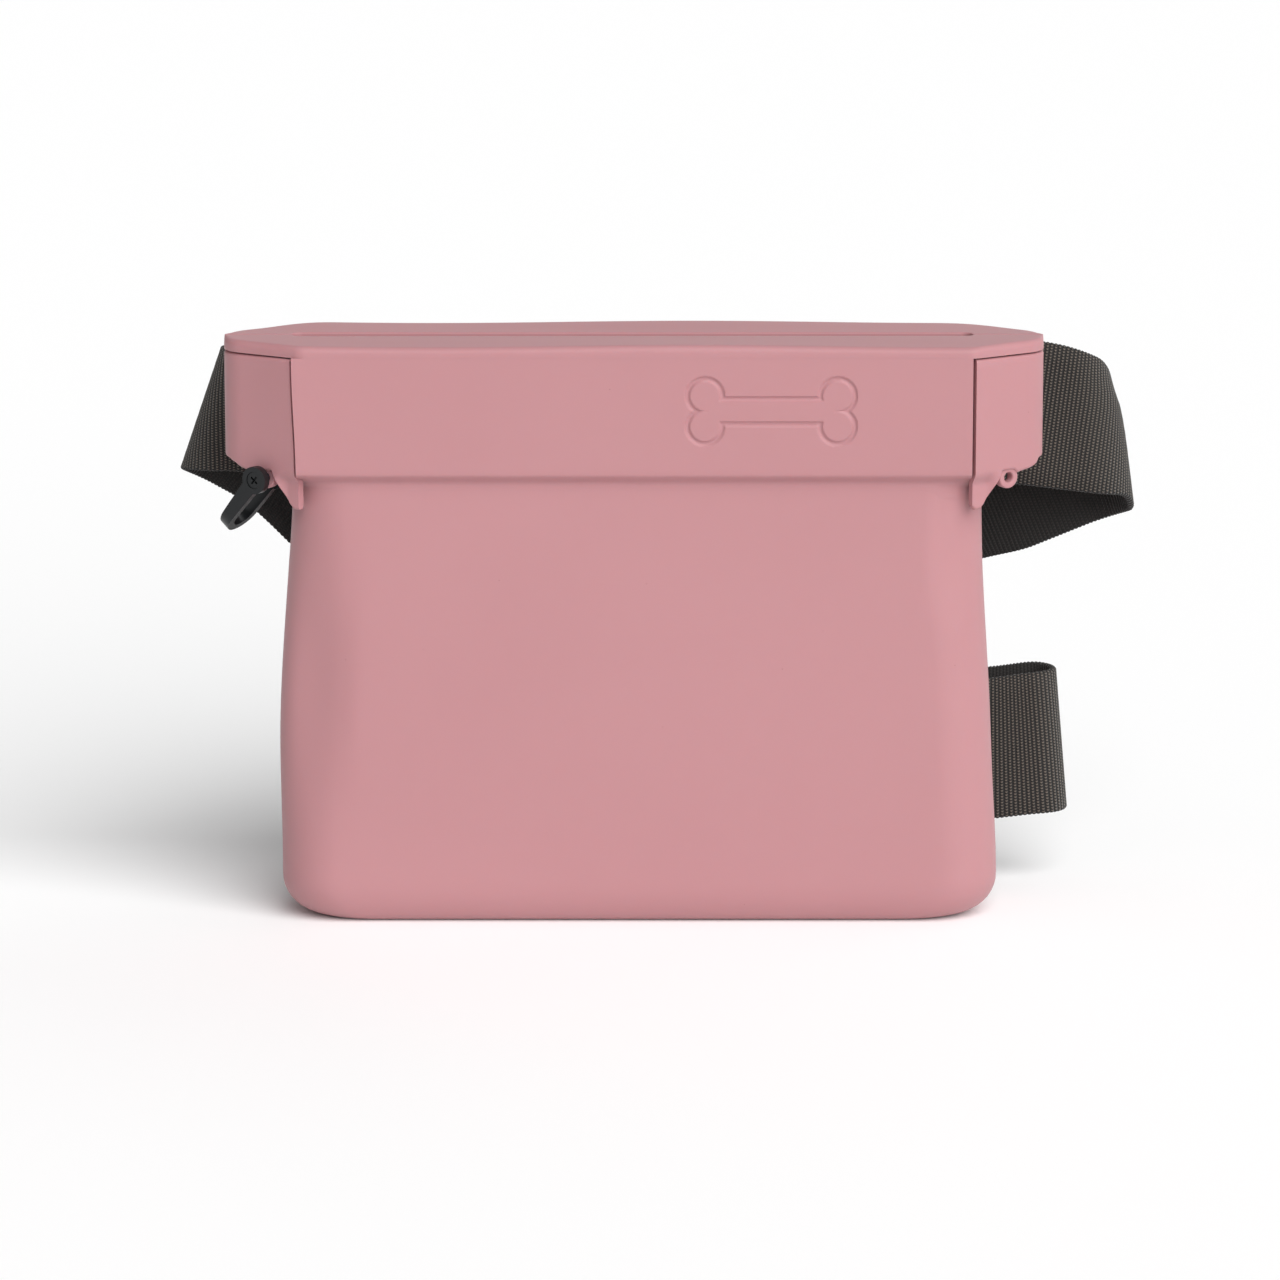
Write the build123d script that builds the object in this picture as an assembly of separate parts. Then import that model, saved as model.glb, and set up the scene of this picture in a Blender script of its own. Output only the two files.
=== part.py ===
"""Moulded silicone treat pouch on a webbing waist belt.

The pouch stands on its base. +X is the wearer's left to right across the front, the front panel
faces -Y, the belt runs behind the back wall, and the origin is the middle of the base.
"""
import os
from math import cos, pi, radians, sin, tan

from build123d import *

# ---- bag ----
BAG_WIDTH_FLARE = 6.5
BAG_DEPTH_FLARE = 4.5
BAG_CORNER = 12.0
BAG_BASE_EDGE = 7.0
BAG_WALL = 2.0

# ---- collar: the thick rim that holds the mouth ----
POUCH_HEIGHT = 150.0
WING_SPAN = 18.8
BAG_PAST_BAND = 3.0
STEP_DEPTH = 2.4
COLLAR_DEPTH = 36.8
COLLAR_END_FLAT = 13.0
COLLAR_CORNER = 6.0
COLLAR_HEIGHT = 33.0
COLLAR_WALL = 2.2
LIP_THICKNESS = 3.0
LIP_EDGE_ROUND = 1.2
BAND_WIDTH = 170.0
SLIT_GAP = 0.75
LIP_SHELF_GAP = 0.35
HINGE_GAP = 0.3
SEAM_GAP = 0.25
SEAM_Y = 1.2
SLOT_WIDTH = 5.4
SLOT_SHORTER_THAN_BAND = 3.0
SLOT_SKIRT = 6.0
SLOT_SKIRT_WALL = 1.8

# ---- magnets sealed in the lips ----
MAGNET_LENGTH = 12.0
MAGNET_WIDTH = 5.0
MAGNET_THICKNESS = 1.6
MAGNET_CLEARANCE = 0.05
MAGNET_INSET = 4.0
MAGNET_FROM_SEAM = 1.2

# ---- ears on the wings and the shackle ----
EAR_PAST_BAND = 9.6
EAR_RADIUS = 2.8
EAR_HOLE_RADIUS = 1.25
EAR_DROP = 1.6
TAIL_WIDTH = 3.0
TAIL_DROP = 6.0
TAIL_BEHIND_BAG_FRONT = 4.8
SHACKLE_REACH = 17.8
SHACKLE_GAP = 6.5
SHACKLE_ARM = 2.0
SHACKLE_EYE_RADIUS = 3.5
SHACKLE_ROOT_WIDTH = 4.34
SHACKLE_TIP_WIDTH = 2.9
SHACKLE_LEAN = 40.0
PIN_CLEARANCE = 0.08
SCREW_HEAD_RADIUS = 2.1
SCREW_HEAD_DEPTH = 1.2
SCREW_HEAD_CLEARANCE = 0.08
SCREW_HEAD_SUNK = 0.2
SCREW_CROSS_LENGTH = 2.4
SCREW_CROSS_WIDTH = 0.5
SCREW_CROSS_DEPTH = 0.7

# ---- belt webbing ----
BELT_WIDTH = 38.0
BELT_THICKNESS = 1.8
BELT_TOP_BELOW_RIM = 4.0
BELT_TO_BACK_GAP = 2.6
RIGHT_TURN_RADIUS = 11.5
RIGHT_TURN_TILT = 7.7
RIGHT_TURN_PAST_COLLAR = 10.2
UPPER_DROOP = 7.0
DROOP_PAST_LOOP = 20.0
LEFT_TURN_TILT = 16.5
LEFT_TURN_PAST_COLLAR = -0.8
INNER_TURN_RADIUS = 9.5
INNER_TURN_INSIDE_BAG = 25.5
LOW_TURN_RADIUS = 6.5
LOW_TURN_PAST_BAG = 16.0
RISING_BEND_SHARE = 0.96
FOLD_JOINT_GAP = 0.05
TURN_STEPS = 9
LAP_GAP = 0.12
LAP_START_FROM_BAR = 9.0
LAP_SLOPE_FROM_BAR = 2.0
LAP_BEND_RADIUS = 2.5
HAIRPIN_BEND_SHARE = 0.98

# ---- belt loops on the back wall ----
LOOP_INSIDE_BAND = 25.0
LOOP_WIDTH = 26.0
LOOP_WALL = 2.4
LOOP_MARGIN = 1.0
LOOP_SEAT_GAP = 0.3
LOOP_TOP_GAP = 0.5
LOOP_INTO_LIP = 1.0
LOOP_EDGE_ROUND = 1.8

# ---- side-release buckle ----
BUCKLE_WIDER_THAN_BELT = 11.0
SOCKET_LENGTH = 33.0
BUCKLE_THICKNESS = 11.0
BUCKLE_WALL = 1.8
BUCKLE_CORNER = 5.0
SOCKET_END_WALL = 1.6
SOCKET_END_ROOM = 2.0
BUCKLE_CLEARANCE = 0.35
SOCKET_PAST_INNER_TURN = 25.5
PLUG_BASE_LENGTH = 16.0
PLUG_FACE_WALL = 3.4
PLUG_STANDOFF = 0.4
PRONG_WIDTH = 4.0
PRONG_LENGTH = 24.0
PRONG_HEAD = 9.0
PRONG_ROOT_GAP = 0.45
PRONG_SIDE_GAP = 2.2
PRONG_PROUD = 0.2
PRONG_NOSE = 3.5
PRONG_HEAD_DEEPER = 1.5
PRONG_TAPER = 1.0
TONGUE_WIDTH = 9.0
TONGUE_SHORTER = 2.0
WINDOW_BEFORE_PRONG = 1.0
WINDOW_PAST_PRONG = 3.0
BAR_RADIUS = 1.7
BAR_CLEARANCE = 0.2
BAR_END_GRIP = 1.5
WEBBING_ROOM = 0.6
SEWN_TAB = 7.0
TAIL_LENGTH = 62.0

# ---- sliding keeper on the belt's tail ----
KEEPER_FROM_PLUG = 49.0
KEEPER_LENGTH = 12.0
KEEPER_WALL = 1.8
KEEPER_CLEARANCE = 0.35
KEEPER_EDGE_ROUND = 1.2

# ---- worked-out places ----
COLLAR_WIDTH = BAND_WIDTH + 2 * WING_SPAN
BAG_WIDTH_TOP = BAND_WIDTH + 2 * BAG_PAST_BAND
BAG_WIDTH_BASE = BAG_WIDTH_TOP + BAG_WIDTH_FLARE
BAG_DEPTH_TOP = COLLAR_DEPTH - 2 * STEP_DEPTH
BAG_DEPTH_BASE = BAG_DEPTH_TOP + BAG_DEPTH_FLARE
SLOT_LENGTH = BAND_WIDTH - SLOT_SHORTER_THAN_BAND
EAR_X = BAND_WIDTH / 2 + EAR_PAST_BAND
LOOP_X = BAND_WIDTH / 2 - LOOP_INSIDE_BAND
UPPER_DROOP_X = LOOP_X + LOOP_WIDTH / 2 + DROOP_PAST_LOOP
RIGHT_TURN_START = COLLAR_WIDTH / 2 + RIGHT_TURN_PAST_COLLAR
LEFT_TURN_START = COLLAR_WIDTH / 2 + LEFT_TURN_PAST_COLLAR
INNER_TURN_X = INNER_TURN_INSIDE_BAG - BAG_WIDTH_TOP / 2
LOW_TURN_X = BAG_WIDTH_TOP / 2 + LOW_TURN_PAST_BAG
BUCKLE_WIDTH = BELT_WIDTH + BUCKLE_WIDER_THAN_BELT
SOCKET_X = INNER_TURN_X + SOCKET_PAST_INNER_TURN
RIM_Z = POUCH_HEIGHT
SHELF_Z = RIM_Z - LIP_THICKNESS
HINGE_Z = RIM_Z - COLLAR_HEIGHT
FRONT_Y = -COLLAR_DEPTH / 2
BACK_Y = COLLAR_DEPTH / 2
BAND_MID_Y = FRONT_Y + COLLAR_WALL / 2
BAG_TOP_Z = HINGE_Z - COLLAR_WALL / 2 - HINGE_GAP
WING_X = BAND_WIDTH / 2 + SLIT_GAP
WING_TOP_Z = SHELF_Z - LIP_SHELF_GAP
WING_BACK_Y = -COLLAR_END_FLAT / 4
SLOPE_X = COLLAR_WIDTH / 2 - BAND_WIDTH / 2
SLOPE_Y = COLLAR_DEPTH / 2 - COLLAR_END_FLAT / 2
EAR_Z = HINGE_Z - EAR_DROP
BELT_Z = RIM_Z - BELT_TOP_BELOW_RIM - BELT_WIDTH / 2
UPPER_Y = BACK_Y + BELT_TO_BACK_GAP + BELT_THICKNESS / 2
CROSS_Y = UPPER_Y + 2 * RIGHT_TURN_RADIUS
LOWER_Y = CROSS_Y - 2 * INNER_TURN_RADIUS
RISING_Y = LOWER_Y + 2 * LOW_TURN_RADIUS
LAP_Y = LOWER_Y + BELT_THICKNESS + LAP_GAP
HAIRPIN_RADIUS = BAR_RADIUS + BAR_CLEARANCE + BELT_THICKNESS / 2
BUCKLE_Y = LOWER_Y + HAIRPIN_RADIUS
PLUG_X = SOCKET_X + SOCKET_LENGTH
PLUG_BAR_X = PLUG_X + PLUG_BASE_LENGTH - 2 * BAR_RADIUS
KEEPER_X = PLUG_X + PLUG_BASE_LENGTH + KEEPER_FROM_PLUG
SOCKET_BAR_X = SOCKET_X - BAR_RADIUS - BAR_CLEARANCE - BELT_THICKNESS
SOCKET_LOW_X = SOCKET_BAR_X - BAR_RADIUS - SOCKET_END_ROOM
INNER_TURN_TILT = RIGHT_TURN_TILT + UPPER_DROOP / 2


# ---------------------------------------------------------------- pouch

def rounded_slab(width, depth, z):
    """One level of the bag: a rectangle with rounded corners at height z."""
    return Plane.XY.offset(z) * RectangleRounded(width, depth, BAG_CORNER)


def bag_volume(inset, floor_z, top_z):
    """The bag's form, tapered from base to top, drawn in by inset on every side."""
    base = loft(
        [
            rounded_slab(BAG_WIDTH_BASE - 2 * inset, BAG_DEPTH_BASE - 2 * inset, floor_z),
            rounded_slab(BAG_WIDTH_TOP - 2 * inset, BAG_DEPTH_TOP - 2 * inset, top_z),
        ],
        ruled=True,
    )
    rim_of_base = base.faces().sort_by(Axis.Z)[0].edges()
    return fillet(rim_of_base, max(BAG_BASE_EDGE - inset, 1.0))


def make_bag():
    """The pocket that holds the treats, open at the top."""
    outer = bag_volume(0.0, 0.0, BAG_TOP_Z)
    inner = bag_volume(BAG_WALL, BAG_WALL, BAG_TOP_Z + 1.0)
    return outer - inner


def collar_outline():
    """Plan of the collar: flat front and back, sloping ends, and a short flat at each tip."""
    half = BAND_WIDTH / 2
    tip = COLLAR_WIDTH / 2
    flat = COLLAR_END_FLAT / 2
    plan = Polygon(
        (-half, FRONT_Y), (half, FRONT_Y), (tip, -flat), (tip, flat),
        (half, BACK_Y), (-half, BACK_Y), (-tip, flat), (-tip, -flat),
        align=None,
    )
    return fillet(plan.vertices(), COLLAR_CORNER)


def collar_shell(z_low, z_high):
    """The collar's upright wall, as a closed ring."""
    plan = collar_outline()
    ring = plan - offset(plan, -COLLAR_WALL)
    return extrude(Plane.XY.offset(z_low) * ring, z_high - z_low)


def block(x_range, y_range, z_range):
    """A box between the given low and high corners."""
    size = [high - low for low, high in (x_range, y_range, z_range)]
    middle = [(high + low) / 2 for low, high in (x_range, y_range, z_range)]
    return Pos(*middle) * Box(*size)


def slot_prism(grow, z_low, z_high):
    """The mouth slot with rounded ends, widened by grow on every side."""
    plan = Pos(0, SEAM_Y) * SlotOverall(SLOT_LENGTH + 2 * grow, SLOT_WIDTH + 2 * grow)
    return extrude(Plane.XY.offset(z_low) * plan, z_high - z_low)


def lip_half(front):
    """Half of the top flange, with a skirt that turns down along the slot."""
    reach = COLLAR_WIDTH
    slab = extrude(Plane.XY.offset(SHELF_Z) * collar_outline(), LIP_THICKNESS)
    slab = fillet(slab.faces().sort_by(Axis.Z)[-1].edges(), LIP_EDGE_ROUND)
    skirt = slot_prism(SLOT_SKIRT_WALL, SHELF_Z - SLOT_SKIRT, SHELF_Z)
    lip = slab + skirt - slot_prism(0.0, SHELF_Z - SLOT_SKIRT - 1, RIM_Z + 1)
    if front:
        keep = block((-reach, reach), (-reach, SEAM_Y - SEAM_GAP / 2), (0, RIM_Z + 1))
    else:
        keep = block((-reach, reach), (SEAM_Y + SEAM_GAP / 2, reach), (0, RIM_Z + 1))
    return lip & keep


def magnet_boxes(front, grow):
    """Left and right bar magnets, lying in one lip beside the end seam."""
    centre_x = COLLAR_WIDTH / 2 - MAGNET_INSET - MAGNET_LENGTH / 2
    side = -1 if front else 1
    centre_y = SEAM_Y + side * (MAGNET_WIDTH / 2 + MAGNET_FROM_SEAM)
    size = (MAGNET_LENGTH + 2 * grow, MAGNET_WIDTH + 2 * grow, MAGNET_THICKNESS + 2 * grow)
    centre_z = SHELF_Z + LIP_THICKNESS / 2
    return [Pos(sign * centre_x, centre_y, centre_z) * Box(*size) for sign in (-1, 1)]


def cut_magnet_pockets(lip, front):
    """Sealed pockets round the two magnets of one lip."""
    for pocket in magnet_boxes(front, MAGNET_CLEARANCE):
        lip = lip - pocket
    return lip


def make_front_lip():
    """The flat front band with its half of the flange; it hinges forward at its lower edge."""
    half = BAND_WIDTH / 2
    band = block((-half, half), (FRONT_Y, FRONT_Y + COLLAR_WALL), (HINGE_Z, SHELF_Z))
    roll = Pos(0, BAND_MID_Y, HINGE_Z) * Rot(0, 90, 0) * Cylinder(COLLAR_WALL / 2, BAND_WIDTH)
    return cut_magnet_pockets(band + roll + lip_half(True), True)


def make_back_lip():
    """The back wall of the collar, up to its half of the flange."""
    half = WING_X
    wall = block((-half, half), (BACK_Y - COLLAR_WALL, BACK_Y), (BAG_TOP_Z, SHELF_Z))
    ledge_half = BAG_WIDTH_TOP / 2 - BAG_CORNER
    ledge = block((-ledge_half, ledge_half), (BAG_DEPTH_TOP / 2 - BAG_WALL, BACK_Y),
                  (BAG_TOP_Z, BAG_TOP_Z + COLLAR_WALL))
    return cut_magnet_pockets(wall + ledge + lip_half(False), False)


def wing_frame(side):
    """A frame on the sloping front of a wing: x along the slope, y up, z out of the wing."""
    normal = Vector(side * SLOPE_Y, -SLOPE_X, 0).normalized()
    along = Vector(side * SLOPE_X, SLOPE_Y, 0).normalized()
    share = (EAR_X - BAND_WIDTH / 2) / SLOPE_X
    outer = Vector(side * EAR_X, FRONT_Y + share * SLOPE_Y, EAR_Z)
    centre = outer - normal * (COLLAR_WALL / 2)
    return Plane(origin=centre, x_dir=along if side > 0 else -along, z_dir=normal)


def collar_side(side, y_range, z_high):
    """One side of the collar's wall outside the slit, between two depths."""
    wall = collar_shell(HINGE_Z, z_high)
    near, far = sorted((side * WING_X, side * COLLAR_WIDTH))
    return wall & block((near, far), y_range, (0, RIM_Z))


def make_collar_end(side):
    """The end of the collar, from the wing's outer edge round to the back wall."""
    return collar_side(side, (WING_BACK_Y, COLLAR_WIDTH), WING_TOP_Z)


def make_wing(side):
    """The sloping front of the collar outside the slit, with its ear and tail."""
    near = side * WING_X
    wing = collar_side(side, (-COLLAR_WIDTH, WING_BACK_Y), WING_TOP_Z)
    frame = wing_frame(side)
    ear = extrude(frame * Circle(EAR_RADIUS), COLLAR_WALL / 2, both=True)
    neck = extrude(frame * Pos(0, EAR_RADIUS) * Rectangle(2 * EAR_RADIUS, 2 * EAR_RADIUS),
                   COLLAR_WALL / 2, both=True)
    tail_end = side * (WING_X + TAIL_WIDTH)
    tail = block(
        (min(near, tail_end), max(near, tail_end)),
        (FRONT_Y + COLLAR_WALL / 2, -BAG_DEPTH_TOP / 2 + TAIL_BEHIND_BAG_FRONT),
        (HINGE_Z - TAIL_DROP, HINGE_Z + COLLAR_WALL),
    )
    hole = extrude(frame * Circle(EAR_HOLE_RADIUS), COLLAR_WALL, both=True)
    return wing + ear + neck + tail - hole


# ---------------------------------------------------------------- shackle

def shackle_frame():
    """The left ear's frame turned so that y runs from the eye towards the bow."""
    ear = wing_frame(-1)
    turn = radians(180 - SHACKLE_LEAN)
    across = ear.x_dir * cos(turn) + ear.y_dir * sin(turn)
    return Plane(origin=ear.origin, x_dir=across, z_dir=ear.z_dir)


def make_shackle_bow():
    """A horseshoe: two flat tapered arms with round eyes, joined by the bow at their far end."""
    plane = shackle_frame()
    bow_depth = SHACKLE_GAP / 2 + SHACKLE_ARM
    reach = SHACKLE_REACH
    arm_plan = make_face(Polyline(
        (-SHACKLE_ROOT_WIDTH / 2, 0), (SHACKLE_ROOT_WIDTH / 2, 0),
        (SHACKLE_TIP_WIDTH / 2, reach), (-SHACKLE_TIP_WIDTH / 2, reach), close=True,
    ))
    plan = arm_plan + Circle(SHACKLE_EYE_RADIUS)
    solid = extrude(plane * plan, bow_depth, both=True)
    inner_end = reach - SHACKLE_ARM
    gap_side = Plane(origin=plane.origin, x_dir=plane.y_dir, z_dir=plane.x_dir)
    gap_plan = (
        Pos((inner_end - SHACKLE_GAP / 2 - SHACKLE_EYE_RADIUS - 1) / 2, 0)
        * Rectangle(inner_end - SHACKLE_GAP / 2 + SHACKLE_EYE_RADIUS + 1, SHACKLE_GAP)
        + Pos(inner_end - SHACKLE_GAP / 2, 0) * Circle(SHACKLE_GAP / 2)
    )
    solid = solid - extrude(gap_side * gap_plan, 2 * SHACKLE_EYE_RADIUS, both=True)
    outer_plan = (
        Pos((reach - bow_depth) / 2 - SHACKLE_EYE_RADIUS, 0)
        * Rectangle(reach - bow_depth + 2 * SHACKLE_EYE_RADIUS, 2 * bow_depth)
        + Pos(reach - bow_depth, 0) * Circle(bow_depth)
    )
    solid = solid & extrude(gap_side * outer_plan, 2 * SHACKLE_EYE_RADIUS, both=True)
    pin_hole = extrude(plane * Circle(EAR_HOLE_RADIUS), 2 * bow_depth, both=True)
    head_seat = extrude(
        plane.offset(bow_depth - SCREW_HEAD_DEPTH) * Circle(SCREW_HEAD_RADIUS + SCREW_HEAD_CLEARANCE),
        SCREW_HEAD_DEPTH + 1,
    )
    return solid - pin_hole - head_seat


def make_shackle_screw():
    """The cross-head screw that is the shackle's pin."""
    plane = shackle_frame()
    bow_depth = SHACKLE_GAP / 2 + SHACKLE_ARM
    shank = extrude(plane.offset(-bow_depth) * Circle(EAR_HOLE_RADIUS - PIN_CLEARANCE),
                    2 * bow_depth - SCREW_HEAD_DEPTH)
    head = extrude(plane.offset(bow_depth - SCREW_HEAD_DEPTH) * Circle(SCREW_HEAD_RADIUS),
                   SCREW_HEAD_DEPTH - SCREW_HEAD_SUNK)
    cross = (Rectangle(SCREW_CROSS_LENGTH, SCREW_CROSS_WIDTH)
             + Rectangle(SCREW_CROSS_WIDTH, SCREW_CROSS_LENGTH))
    head_top = bow_depth - SCREW_HEAD_SUNK
    recess = extrude(plane.offset(head_top - SCREW_CROSS_DEPTH) * cross, SCREW_HEAD_DEPTH)
    return shank + head - recess


# ---------------------------------------------------------------- belt

def unit(x, z):
    """A unit direction in the X-Z plane."""
    return Vector(x, 0, z).normalized()


def fold(entry, heading, tilt, radius):
    """Where a strip leaves a half turn about an axis that leans tilt degrees from upright.

    The part of the heading along the axis is kept and the part across it is reversed.
    """
    axis = unit(sin(radians(tilt)), cos(radians(tilt)))
    along = heading.dot(axis)
    across = heading - axis * along
    drift = pi * radius * along / across.length
    return entry + axis * drift, axis * along - across, axis, across.normalized()


def turn_solid(entry, heading, tilt, radius, y_from, y_to):
    """The half turn itself, as a loft through flat sections that all contain the axis direction."""
    _, _, axis, across = fold(entry, heading, tilt, radius)
    slope = heading.dot(axis) / heading.dot(across)
    half = BELT_WIDTH / 2 / heading.dot(across)
    mid_y = (y_from + y_to) / 2
    facing = 1 if y_to > y_from else -1
    sections = []
    for step in range(TURN_STEPS + 1):
        angle = pi * step / TURN_STEPS
        outward = across * sin(angle) + Vector(0, -facing * cos(angle), 0)
        centre = entry + axis * (slope * radius * angle) + Vector(0, mid_y - entry.Y, 0)
        corners = []
        for rise, out in ((-1, -1), (1, -1), (1, 1), (-1, 1)):
            spot = centre + axis * (rise * half) + outward * (radius + out * BELT_THICKNESS / 2)
            corners.append(spot)
        sections.append(Wire.make_polygon(corners, close=True))
    return Solid.make_loft(sections, ruled=True)


def strip(points, y):
    """A flat length of webbing in the plane y, from its outline's (x, z) corners."""
    face = make_face(Polyline(*points, close=True))
    return extrude(Plane.XZ.offset(-y) * face, BELT_THICKNESS / 2, both=True)


def edge_pair(point, heading, axis):
    """The strip's two edge points on the fold line through point, lower one first."""
    across = Vector(-heading.Z, 0, heading.X)
    if across.Z < 0:
        across = -across
    scale = BELT_WIDTH / 2 / axis.dot(across)
    low = point - axis * scale
    high = point + axis * scale
    return (low.X, low.Z), (high.X, high.Z)


TO_RIGHT = Vector(1, 0, 0)
TO_LEFT = Vector(-1, 0, 0)
DROOPING = unit(cos(radians(UPPER_DROOP)), -sin(radians(UPPER_DROOP)))
DROOP_START = Vector(UPPER_DROOP_X, UPPER_Y, BELT_Z)
RIGHT_ENTRY = DROOP_START + DROOPING * ((RIGHT_TURN_START - UPPER_DROOP_X) / DROOPING.X)
RIGHT_EXIT, CROSS_HEADING, RIGHT_AXIS, _ = fold(
    RIGHT_ENTRY, DROOPING, -RIGHT_TURN_TILT, RIGHT_TURN_RADIUS)
CROSS_RUN = (RIGHT_EXIT.X - INNER_TURN_X) / -CROSS_HEADING.X
INNER_ENTRY = Vector(INNER_TURN_X, CROSS_Y, RIGHT_EXIT.Z + CROSS_HEADING.Z * CROSS_RUN)
INNER_EXIT, _, INNER_AXIS, _ = fold(
    INNER_ENTRY, CROSS_HEADING, -INNER_TURN_TILT, INNER_TURN_RADIUS)
LOWER_Z = INNER_EXIT.Z
LEFT_ENTRY = Vector(-LEFT_TURN_START, UPPER_Y, BELT_Z)
LEFT_TURN_RADIUS = (RISING_Y - UPPER_Y) / 2
LEFT_EXIT, RISING_HEADING, LEFT_AXIS, _ = fold(
    LEFT_ENTRY, TO_LEFT, LEFT_TURN_TILT, LEFT_TURN_RADIUS)


def make_belt_upper_run():
    """The run behind the pouch, through both belt loops, drooping past the right one."""
    right = edge_pair(RIGHT_ENTRY, DROOPING, RIGHT_AXIS)
    mitre = unit(sin(radians(UPPER_DROOP / 2)), cos(radians(UPPER_DROOP / 2)))
    bend = edge_pair(DROOP_START, TO_RIGHT, mitre)
    left = edge_pair(LEFT_ENTRY, TO_LEFT, LEFT_AXIS)
    return strip([left[0], bend[0], right[0], right[1], bend[1], left[1]], UPPER_Y)


def make_belt_cross_run():
    """The run that slopes down from the right turn to the hidden inner turn."""
    right = edge_pair(RIGHT_EXIT, CROSS_HEADING, RIGHT_AXIS)
    left = edge_pair(INNER_ENTRY, CROSS_HEADING, INNER_AXIS)
    return strip([left[0], right[0], right[1], left[1]], CROSS_Y)


def make_belt_rising_run():
    """The run that leaves the low turn level and curves up to the left turn."""
    rise = tan(radians(2 * LEFT_TURN_TILT))
    corner_x = LEFT_EXIT.X + (LEFT_EXIT.Z - LOWER_Z) / rise
    tangent = RISING_BEND_SHARE * (LOW_TURN_X - corner_x)
    bend_radius = tangent / tan(radians(LEFT_TURN_TILT))
    centre_x = corner_x + tangent
    centre_z = LOWER_Z + bend_radius
    lean = radians(2 * LEFT_TURN_TILT)
    low, high = edge_pair(LEFT_EXIT, -RISING_HEADING, LEFT_AXIS)
    half = BELT_WIDTH / 2

    def on_arc(angle, inset):
        radius = bend_radius - inset
        return (centre_x - radius * sin(angle), centre_z - radius * cos(angle))

    outline = [
        Line((LOW_TURN_X, LOWER_Z - half), on_arc(0, -half)),
        ThreePointArc(on_arc(0, -half), on_arc(lean / 2, -half), on_arc(lean, -half)),
        Line(on_arc(lean, -half), low),
        Line(low, high),
        Line(high, on_arc(lean, half)),
        ThreePointArc(on_arc(lean, half), on_arc(lean / 2, half), on_arc(0, half)),
        Line(on_arc(0, half), (LOW_TURN_X, LOWER_Z + half)),
        Line((LOW_TURN_X, LOWER_Z + half), (LOW_TURN_X, LOWER_Z - half)),
    ]
    face = make_face(Curve() + outline)
    return extrude(Plane.XZ.offset(-RISING_Y) * face, BELT_THICKNESS / 2, both=True)


def ribbon(points, radius):
    """Webbing standing on edge along a plan route, its bends rounded to radius."""
    with BuildSketch(Plane.XY.offset(LOWER_Z - BELT_WIDTH / 2)) as plan:
        with BuildLine():
            FilletPolyline(*points, radius=radius)
            offset(amount=BELT_THICKNESS / 2, side=Side.BOTH)
        make_face()
    return extrude(plan.sketch, BELT_WIDTH)


def hairpin(bar_x, side, main_x, lap):
    """Webbing that runs in from main_x, turns round a bar and lies back on itself for lap.

    side is +1 where the bar is the far end towards +X.
    """
    start = bar_x - side * LAP_START_FROM_BAR
    bend = HAIRPIN_RADIUS * HAIRPIN_BEND_SHARE
    far_y = LOWER_Y + 2 * HAIRPIN_RADIUS
    nose = bar_x + side * HAIRPIN_RADIUS
    return ribbon(
        [
            (main_x, LOWER_Y), (nose, LOWER_Y), (nose, far_y),
            (bar_x - side * LAP_SLOPE_FROM_BAR, far_y), (start, LAP_Y), (start - side * lap, LAP_Y),
        ],
        [bend, bend, LAP_BEND_RADIUS, LAP_BEND_RADIUS],
    )


def make_belt_socket_end():
    """The belt's sewn end: in from the inner turn, round the socket's bar, stitched down."""
    tab = hairpin(SOCKET_BAR_X, 1, INNER_EXIT.X - BELT_WIDTH / 2, SEWN_TAB)
    reach = 2 * BELT_WIDTH
    lean = Plane(origin=INNER_EXIT, x_dir=(0, 1, 0), z_dir=INNER_AXIS.cross(Vector(0, 1, 0)))
    past_fold = extrude(lean * Rectangle(reach, reach), reach)
    return tab - past_fold


def buckle_block(x_low, x_high, half_width, half_thickness):
    """A box on the buckle's centre line."""
    return block((x_low, x_high), (BUCKLE_Y - half_thickness, BUCKLE_Y + half_thickness),
                 (LOWER_Z - half_width, LOWER_Z + half_width))


def webbing_room(x_low, x_high):
    """The cut right through a buckle half that lets the belt round its bar."""
    return buckle_block(x_low, x_high, BELT_WIDTH / 2 + WEBBING_ROOM, BUCKLE_THICKNESS / 2 + 1)


def webbing_bar(x):
    """The round bar that the belt turns about, its ends sunk in the buckle's sides."""
    return Pos(x, BUCKLE_Y, LOWER_Z) * Cylinder(BAR_RADIUS, BELT_WIDTH + 2 * BAR_END_GRIP)


def make_buckle_socket():
    """The female half: a flat shell with a side window for each prong and a bar for the belt."""
    shell = buckle_block(SOCKET_LOW_X, PLUG_X, BUCKLE_WIDTH / 2, BUCKLE_THICKNESS / 2)
    shell = fillet(shell.edges().filter_by(Axis.Y), BUCKLE_CORNER)
    inner_t = BUCKLE_THICKNESS / 2 - BUCKLE_WALL
    cavity = buckle_block(SOCKET_X + BUCKLE_WALL, PLUG_X + 1, BUCKLE_WIDTH / 2 - BUCKLE_WALL, inner_t)
    prong_tip = PLUG_X - PRONG_LENGTH
    windows = buckle_block(prong_tip - WINDOW_BEFORE_PRONG, prong_tip + PRONG_HEAD + WINDOW_PAST_PRONG,
                           BUCKLE_WIDTH / 2 + 1, inner_t)
    return shell - cavity - windows - webbing_room(SOCKET_LOW_X - 1, SOCKET_X) + webbing_bar(SOCKET_BAR_X)


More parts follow.
